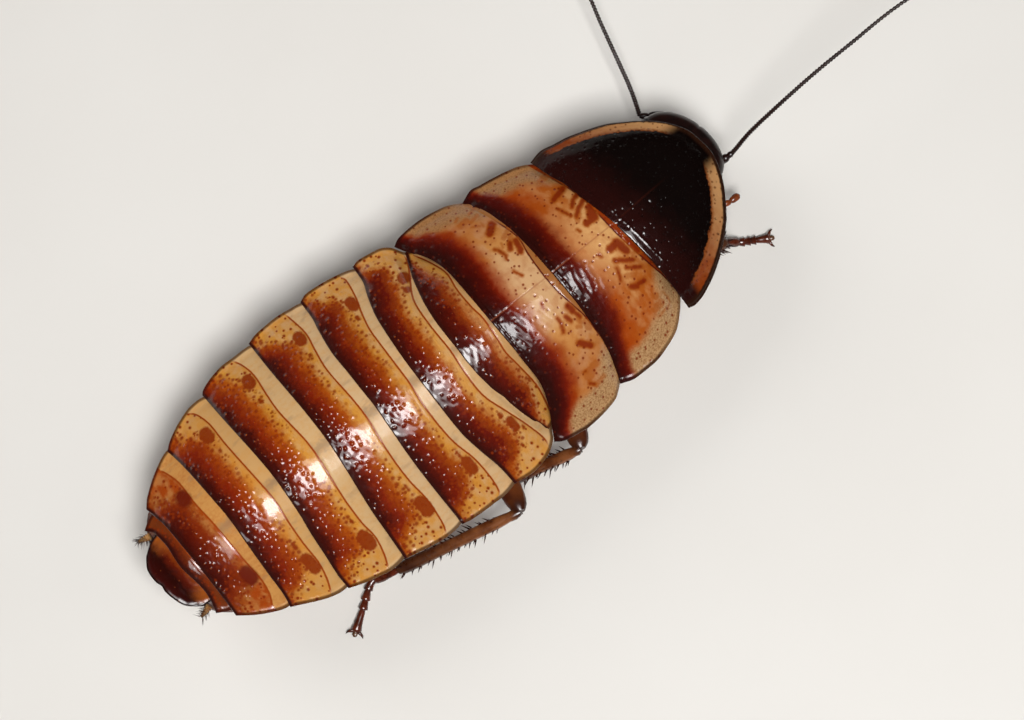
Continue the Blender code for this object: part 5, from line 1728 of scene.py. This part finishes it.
@dataclass
class Leg:
    """One leg: coxa with its small second joint, femur, spiny tibia and five-jointed foot."""

    bench: Bench
    name: str
    plan: LegPlan
    # Share of the length, half width and half height.
    coxa_girths: tuple = (
        (0.0, 0.5, 0.42), (0.12, 0.98, 0.64), (0.4, 1.13, 0.72), (0.75, 0.76, 0.6), (1.0, 0.36, 0.38),
    )
    femur_girths: tuple = (
        (0.0, 0.3, 0.3), (0.12, 0.5, 0.44), (0.45, 0.74, 0.48), (0.8, 0.7, 0.46), (0.94, 0.54, 0.42),
        (1.0, 0.28, 0.26),
    )
    tibia_girths: tuple = (
        (0.0, 0.2, 0.2), (0.03, 0.34, 0.32), (0.09, 0.3, 0.28), (0.22, 0.38, 0.32), (0.6, 0.38, 0.32),
        (0.93, 0.42, 0.36), (1.0, 0.28, 0.28),
    )
    ceiling: float = 2.6  # level over which the belly leaves the coxae no room

    def limb(
        self, start: Vector, end: Vector, table: tuple, name: str, horn: bpy.types.Material, sag: float = 0.0
    ) -> None:
        """Models one long joint, bowed downwards by its sag, or upwards where the sag is negative."""
        rows = girth_at(table, 22)
        path = [start.lerp(end, share) - Vector((0.0, 0.0, sag * math.sin(math.pi * share))) for share, _, _ in rows]
        shape = tube(path, [row[1] for row in rows], [row[2] for row in rows], sides=20)
        if name.endswith("coxa"):
            for vert in shape.verts:
                vert.co.z = min(vert.co.z, self.ceiling)
            trochanter = Vector(self.plan.trochanter)
            axis = Vector(self.plan.thigh) - trochanter
            ball(shape, trochanter + axis * 0.3, (0.36, 0.34, 0.46), ring_frame(axis), 16)
        self.bench.piece(f"{name}_horn", shape, horn, Slot.LEG, [name])

    def build(self, horns: dict[str, bpy.types.Material]) -> None:
        """Models and dresses the leg's pieces."""
        hip, trochanter, thigh, knee, ankle, sole, toe = (
            Vector(place) for place in (
                self.plan.hip, self.plan.trochanter, self.plan.thigh, self.plan.knee, self.plan.ankle, self.plan.sole,
                self.plan.toe,
            )
        )
        coxa_end = trochanter + (hip - trochanter).normalized() * 0.1
        self.limb(hip, coxa_end, self.coxa_girths, f"{self.name}_coxa", horns["coxa"])
        self.limb(thigh, knee, self.femur_girths, f"{self.name}_femur", horns["femur"])
        shin = knee + (ankle - knee).normalized() * 0.05
        self.limb(shin, ankle, self.tibia_girths, f"{self.name}_tibia", horns["tibia"], sag=-0.05)
        self.spines(shin, ankle, thigh, knee, horns["spine"])
        self.foot(ankle, sole, toe, horns)

    def spines(self, shin: Vector, ankle: Vector, thigh: Vector, knee: Vector, horn: bpy.types.Material) -> None:
        """Rows of spines on the tibia, its crown of spurs, and the few spines of the femur."""
        chance = np.random.default_rng(len(self.name) * 7 + self.plan.spines)
        shape = bmesh.new()
        axis = (ankle - shin).normalized()
        turn = ring_frame(axis).to_3x3()
        for angle, reach in ((-22.0, 0.62), (26.0, 0.7), (154.0, 0.62), (202.0, 0.7), (272.0, 0.55)):
            for i in range(self.plan.spines):
                along = 0.2 + 0.74 * (i + chance.uniform(0.0, 0.4)) / self.plan.spines
                away = spoke(turn, math.radians(angle + chance.uniform(-9.0, 9.0)))
                root = shin.lerp(ankle, along) + away * 0.26
                thorn(shape, root, away + axis * 0.8, reach * chance.uniform(0.55, 1.25), 0.07)
        for angle in (20.0, 75.0, 160.0, 215.0, 270.0, 325.0):
            away = spoke(turn, math.radians(angle))
            root = shin.lerp(ankle, 0.95) + away * 0.26
            thorn(shape, root, away * 0.8 + axis * 1.1, chance.uniform(0.5, 0.75), 0.085)
        for _ in range(self.plan.spines * 5):
            away = spoke(turn, chance.uniform(0.0, 2.0 * math.pi))
            root = shin.lerp(ankle, chance.uniform(0.15, 0.98)) + away * 0.28
            thorn(shape, root, away + axis * 0.9, chance.uniform(0.22, 0.4), 0.022, 3)
        axis = (knee - thigh).normalized()
        turn = ring_frame(axis).to_3x3()
        for along, lean_out, length in ((0.62, 0.7, 0.45), (0.76, 0.6, 0.45), (0.96, 0.45, 0.36)):
            root = thigh.lerp(knee, along) - turn.col[1] * 0.26
            thorn(shape, root, axis - turn.col[1] * lean_out, length, 0.085)
        self.bench.piece(f"{self.name}_spines", shape, horn, Slot.LEG)

    def foot(self, ankle: Vector, sole: Vector, toe: Vector, horns: dict[str, bpy.types.Material]) -> None:
        """Five joints, flat on the floor, and two hooked claws with a pad between them."""
        line = smooth_line([ankle, ankle.lerp(sole, 0.55) - UP * 0.04, sole, sole.lerp(toe, 0.5), toe], 12)
        shape = bmesh.new()
        ends = (0.0, 0.34, 0.5, 0.62, 0.73, 1.0)
        for number, (first, last) in enumerate(zip(ends, ends[1:])):
            parts = np.array((-0.08, 0.12, 0.38, 0.68, 0.88, 0.97, 1.0))
            tip = 1.06 if number < 4 else 1.15
            swell = np.array((0.5, 0.74, 0.82, 0.96, tip, tip * 0.88, tip * 0.62))
            path = [Vector(point) for point in walk(line, np.clip(first + (last - first) * parts, 0.0, 1.0))]
            tube(path, list(0.29 * swell), sides=14, base=shape)
        for vert in shape.verts:
            vert.co.z = max(vert.co.z, 0.0)
        self.bench.piece(f"{self.name}_tarsus_joints", shape, horns["tarsus"], Slot.LEG, [f"{self.name}_tarsus"])
        axis = (toe - sole).normalized()
        level = ring_frame(axis).to_3x3().col[0]
        claws = bmesh.new()
        hook = ((0.0, 0.02, 0.0), (0.08, 0.17, 0.06), (0.16, 0.33, 0.04), (0.26, 0.42, -0.05), (0.36, 0.46, -0.15))
        for sign in (-1.0, 1.0):
            root = toe - axis * 0.08 + level * sign * 0.08 + UP * 0.04
            path = [root + axis * fore + level * sign * out + UP * rise for fore, out, rise in hook]
            tube(path, [0.12, 0.11, 0.085, 0.05, 0.01], sides=8, base=claws)
        self.bench.piece(f"{self.name}_claws", claws, horns["claw"], Slot.LEG)
        pad = bmesh.new()
        ball(pad, toe + axis * 0.14 - UP * 0.02, (0.17, 0.1, 0.2), ring_frame(axis), 14)
        for vert in pad.verts:
            vert.co.z = max(vert.co.z, 0.0)
        self.bench.piece(f"{self.name}_foot_pad", pad, horns["pad"], Slot.LEG)


# ---- underside and tail


@dataclass(frozen=True)
class Hem:
    """Crosswise line under the body."""

    x: float
    y: float
    half: float
    turn: float
    belly: float

    def at(self, across: float) -> tuple[float, float]:
        """Plan point at a distance to the animal's left of its middle."""
        angle = math.radians(self.turn)
        return self.x + math.cos(angle) * across, self.y + math.sin(angle) * across


BELLY_HEMS = (
    Hem(-0.55, -17.75, 4.3, 8.0, 2.9), Hem(-1.15, -13.1, 5.4, 6.6, 2.9), Hem(-1.14, -8.1, 6.7, 0.0, 2.9),
    Hem(-0.8, -3.2, 6.9, -1.7, 2.9), Hem(-0.67, 0.15, 8.05, -3.9, 2.35), Hem(-0.19, 3.98, 8.11, -5.2, 2.1),
    Hem(0.16, 7.89, 7.82, -5.2, 2.05), Hem(0.41, 11.8, 7.1, -4.2, 2.15), Hem(0.53, 15.31, 5.75, -2.6, 2.5),
    Hem(0.5, 19.75, 4.3, 0.0, 3.55),
)
BELLY_NODES = (
    "prosternum", "mesosternum", "metasternum", "sternite_2", "sternite_3", "sternite_4", "sternite_5", "sternite_6",
    "subgenital_plate",
)


@dataclass
class Belly:
    """Plates of the underside, from the neck to the last one under the tail."""

    bench: Bench

    def build(self) -> None:
        """Models and dresses the plates."""
        effects = self.bench.effects
        for number, (name, front, rear) in enumerate(zip(BELLY_NODES, BELLY_HEMS, BELLY_HEMS[1:])):
            shade = LimbHorn(
                f"belly_horn_{number}", tone(140, 76, 34), tone(104, 50, 20), tone(52, 20, 10), dark_root=0.0,
                dark_tip=0.72, mottle=0.9, gloss=Gloss(rough=0.36, coat=0.6, coat_rough=0.18, relief=0.3, depth=0.03),
            )
            self.plate(name, front, rear, shade.material(effects), number)

    def plate(self, name: str, front: Hem, rear: Hem, material: bpy.types.Material, number: int) -> None:
        """Models one plate as a bowl whose top lies under the back.

        Args:
            name: the node that it replaces.
            front: line of its front edge.
            rear: line of its rear edge.
            material: its finish.
            number: its place from the front.
        """
        chest = number < 3
        columns, rows = 90, 22
        rim = BELLY_TOP - 0.35
        mesh, column, row, ring = slab(columns, rows, walls=2)
        side = column / columns * 2.0 - 1.0
        along = 1.0 - row / rows
        angle = np.radians(front.turn + (rear.turn - front.turn) * along)
        half = (front.half + (rear.half - front.half) * along) * 0.9
        x = front.x + (rear.x - front.x) * along + np.cos(angle) * side * half
        y = front.y + (rear.y - front.y) * along + np.sin(angle) * side * half
        if name == "subgenital_plate":
            y = y - 1.25 * np.abs(side) ** 4 * along
        y = y + 0.1 * (1.0 - along)
        edge = np.abs(side) ** 6 if chest else 1.0 - np.sqrt(1.0 - np.minimum(1.0, side**2 * 0.97))
        drop = (rim - (front.belly + (rear.belly - front.belly) * along)) * (1.0 - edge)
        lip = 0.16 * along * (1.0 - edge) - 0.1 * ease(along, 0.9, 1.0) * (1.0 - edge)
        z = rim - drop - lip
        z += ripple(np.column_stack([x, y]), 0.7, 300 + number) * 0.012
        if chest:
            z -= 0.05 * bell(x, np.mean(x), 0.2)
        z = np.where(ring == 1, BELLY_TOP - 0.06, z)
        z = np.where(ring == 2, BELLY_TOP, z)
        places = np.column_stack([x, y, z])
        self.bench.sheet(f"{name}_plate", mesh, places, {"along": along}, material, Slot.BELLY, [name])


@dataclass
class Tail:
    """The last back plate with its shallow notch, and the two hairy tail feelers."""

    bench: Bench
    bristles: int = 60  # on each tail feeler

    def build(self) -> None:
        """Models and dresses the tail's pieces."""
        self.end_plate()
        self.cerci()

    def end_plate(self) -> None:
        """Models the supra-anal plate, broad with a rounded, faintly notched rear."""
        outline = smooth_line(((3.02, 18.99), (2.92, 19.35), (2.8, 19.58), (2.56, 19.93), (2.32, 20.22), (1.72, 20.6),
                               (0.9, 20.68), (0.45, 20.56), (0.0, 20.62), (-0.77, 20.48), (-1.26, 20.3),
                               (-1.56, 20.06), (-2.0, 19.52), (-2.12, 18.95)), 10)
        columns, rows = 96, 34
        mesh, column, row, ring = slab(columns, rows, walls=2)
        u, t = column / columns, 1.0 - row / rows
        middle = np.interp(u, (0.0, 0.5, 1.0), (18.6, 18.3, 18.6))
        front = np.column_stack([np.interp(u, (0.0, 1.0), (-2.3, 3.1)), middle])
        rear = walk(outline[::-1], u)
        plan = front + (rear - front) * t[:, None]
        share = np.abs(u * 2.0 - 1.0)
        base, ridge = 5.2, 6.45 - 0.85 * t**1.4
        z = base + (ridge - base) * arch(share) * (1.0 - 0.12 * t)
        rim = gap_to(plan, outline)
        z += 0.04 * bell(rim, 0.06, 0.09) - 0.05 * bell(rim, 0.35, 0.2)
        z += ripple(plan, 0.5, 77) * 0.02 + ripple(plan, 0.22, 78) * 0.01
        z = np.where(ring == 1, z - 0.14, z)
        z = np.where(ring == 2, SKIRT, z)
        middle, cover = 0.45, 18.75  # where its midline and the edge of the plate over it lie
        values = {"hem": rim, "across": plan[:, 0] - middle, "front": plan[:, 1] - cover}
        material = EndHorn().material(self.bench.effects)
        places = np.column_stack([plan, z])
        self.bench.sheet("supra_anal_horn", mesh, places, values, material, Slot.BACK, ["supra_anal_plate"])

    def cerci(self) -> None:
        """Models the short jointed tail feelers with their bristles."""
        horn = LimbHorn("cercus_horn", tone(178, 132, 80), tone(124, 74, 38), tone(30, 12, 8), dark_root=0.0,
                        dark_tip=0.05, mottle=2.6).material(self.bench.effects)
        hair = LimbHorn("bristle_horn", tone(60, 32, 18), tone(40, 20, 12), tone(26, 12, 8))
        hair = hair.material(self.bench.effects)
        for side in Side:
            sign = side.value
            root = Vector((0.5 + sign * 2.72, 19.2, 4.95))
            tip = root + Vector((sign * 0.22, 0.86, -0.05))
            chance = np.random.default_rng(60 + int(sign))
            bristles = bmesh.new()
            for _ in range(self.bristles):
                along, around = chance.uniform(0.2, 1.0), chance.uniform(0.0, 2.0 * math.pi)
                away = Vector((math.cos(around), 0.0, math.sin(around)))
                place, lean = root.lerp(tip, along) + away * 0.1, away + Vector((0.0, 0.7, 0.0))
                thorn(bristles, place, lean, chance.uniform(0.25, 0.5), 0.02, 3)
            self.bench.piece(f"{side.word}_cercus_bristles", bristles, hair, Slot.LEG)
            shares, widths, joints = [], [], 6
            for joint in range(joints):
                grow = 0.25 - 0.027 * joint
                for part, swell in ((0.05, 0.8), (0.5, 1.1), (0.92, 0.9)):
                    shares.append((joint + part) / joints)
                    widths.append(grow * swell)
            widths[-1] = 0.03
            shape = tube([root.lerp(tip, share) for share in shares], widths, sides=14)
            self.bench.piece(f"{side.word}_cercus_joints", shape, horn, Slot.LEG, [f"{side.word}_cercus"])


@dataclass
class Limbs:
    """All legs and feelers."""

    bench: Bench

    def build(self) -> None:
        """Models and dresses the legs and the feelers."""
        effects = self.bench.effects
        tibia = Gloss(rough=0.3, coat=1.0, coat_rough=0.1, relief=0.35, depth=0.03)
        tarsus = Gloss(rough=0.28, coat=1.0, coat_rough=0.1, relief=0.3, depth=0.02)
        # Base, deep tone, ends, and what differs from the usual limb.
        horns = {
            "coxa_horn": ((150, 86, 38), (116, 60, 24), (60, 26, 12), {"mottle": 1.0}),
            "femur_horn": ((100, 50, 22), (72, 30, 12), (38, 13, 6), {"mottle": 1.0, "dark_tip": 0.78}),
            # The tibiae darken from the knee to near-black at the lower end. This is partly their own dark horn and
            # partly painted shade of the lower leg.
            "tibia_horn": ((126, 74, 40), (92, 46, 20), (36, 13, 7), {"mottle": 0.9, "dark_tip": 0.28, "gloss": tibia}),
            "tarsus_horn": ((92, 36, 18), (60, 22, 11), (36, 13, 7), {"gloss": tarsus}),
            "spine_horn": ((52, 20, 10), (34, 12, 7), (16, 7, 5), {"mottle": 2.6}),
            "claw_horn": ((96, 40, 20), (64, 24, 12), (24, 9, 6), {"dark_root": 0.0, "dark_tip": 0.4}),
            "pad_skin": ((130, 92, 62), (104, 70, 46), (80, 50, 32), {"mottle": 3.0}),
        }
        made = {
            name.split("_")[0]: LimbHorn(name, *(tone(*colour) for colour in colours), **own).material(effects)
            for name, (*colours, own) in horns.items()
        }
        for name, plan in LEGS.items():
            Leg(self.bench, name, plan).build(made)
        beads = LimbHorn(
            "flagellum_horn", tone(58, 30, 20), tone(42, 20, 13), tone(26, 11, 8), dark_tip=2.0,
            gloss=Gloss(rough=0.42, coat=0.4, coat_rough=0.25, relief=0.3, depth=0.012),
        ).material(effects)
        base = LimbHorn("scape_horn", tone(34, 13, 9), tone(22, 9, 7), tone(14, 6, 5)).material(effects)
        for side, (socket, points) in FEELERS.items():
            Feeler(self.bench, side, socket, points).build(beads, base)


# ---- the studio


@dataclass
class Studio:
    """Floor, light and camera."""

    stand: Stand
    camera_turns: tuple[float, float, float] = (-0.03967269, -0.08761154, -2.28643066)  # about X, Y and Z, as fitted
    camera_target: tuple[float, float, float] = (-3.0257, -3.8774, 6.0)  # in the plan
    camera_reach: float = 168.639  # from the target
    lamp_target: tuple[float, float, float] = (0.0, 0.0, 0.007)  # metres

    def build(self) -> None:
        """Sets up the whole studio."""
        self.floor()
        self.lights()
        self.camera()

    def floor(self) -> None:
        """Pale floor under the animal, at level zero."""
        shape = bmesh.new()
        bmesh.ops.create_grid(shape, x_segments=24, y_segments=24, size=1.2)
        mesh = bpy.data.meshes.new("floor")
        shape.to_mesh(mesh)
        shape.free()
        mesh.materials.append(FloorPaper().material())
        made = bpy.data.objects.new("floor", mesh)
        bpy.context.scene.collection.objects.link(made)

    def lamp(
        self, name: str, place: Vector, size: float, power: float, seen: bool = False, lights: bool = True
    ) -> None:
        """Adds a soft box that faces the animal.

        Args:
            name: its name.
            place: its middle, in metres.
            size: length of its sides, in metres.
            power: in watts.
            seen: whether it shows in the gloss.
            lights: whether it lights the surfaces.
        """
        aim = Vector(self.lamp_target)
        data = bpy.data.lights.new(name, "AREA")
        data.size = size
        data.energy = power
        made = bpy.data.objects.new(name, data)
        bpy.context.scene.collection.objects.link(made)
        made.visible_glossy, made.visible_diffuse = seen, lights
        made.location = place
        made.rotation_euler = (place - aim).to_track_quat("Z", "Y").to_euler()

    def lights(self) -> None:
        """One bright box near the camera, on the animal's right, and wide soft ones round it."""
        self.lamp("key", Vector((-0.078, 0.026, 0.215)), 0.088, 0.52, seen=True)
        self.lamp("halo", Vector((-0.082, 0.027, 0.226)), 0.17, 0.62, seen=True, lights=False)
        self.lamp("fill", Vector((0.3, 0.1, 0.2)), 0.24, 0.58)
        self.lamp("far_fill", Vector((-0.22, -0.28, 0.2)), 0.24, 0.2)
        world = bpy.data.worlds.new("studio_air")
        world.use_nodes = True
        world.node_tree.nodes["Background"].inputs[0].default_value = (1.0, 0.97, 0.92, 1.0)
        world.node_tree.nodes["Background"].inputs[1].default_value = 0.035
        scene = bpy.context.scene
        scene.world = world
        scene.view_settings.view_transform = "Standard"

    def camera(self) -> None:
        """Camera of the photo: nearly overhead, turned so that the head points to the upper right."""
        pitch, roll, heading = (Matrix.Rotation(angle, 3, axis) for axis, angle in zip("XYZ", self.camera_turns))
        turn = pitch @ roll @ heading
        target = Vector(self.camera_target) + self.stand.shift
        data = bpy.data.cameras.new("camera")
        data.lens, data.sensor_width = 100.0, 36.0
        data.clip_start, data.clip_end = 0.01, 10.0
        made = bpy.data.objects.new("camera", data)
        bpy.context.scene.collection.objects.link(made)
        made.matrix_world = Matrix.Translation((target + turn.col[2] * self.camera_reach) * MM) @ turn.to_4x4()
        bpy.context.scene.camera = made


def main() -> None:
    """Builds the studio and the animal, and logs the stand's shift and each piece's faces."""
    logging.basicConfig(level=logging.INFO, format="%(name)s: %(message)s")
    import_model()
    stand = Stand.from_frame()
    log.info("stand %s", stand.shift)
    bench = Bench(stand, Effects())
    Studio(stand).build()
    Back(bench).build()
    Head(bench).build()
    Limbs(bench).build()
    Belly(bench).build()
    Tail(bench).build()
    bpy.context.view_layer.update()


if __name__ == "__main__":
    main()
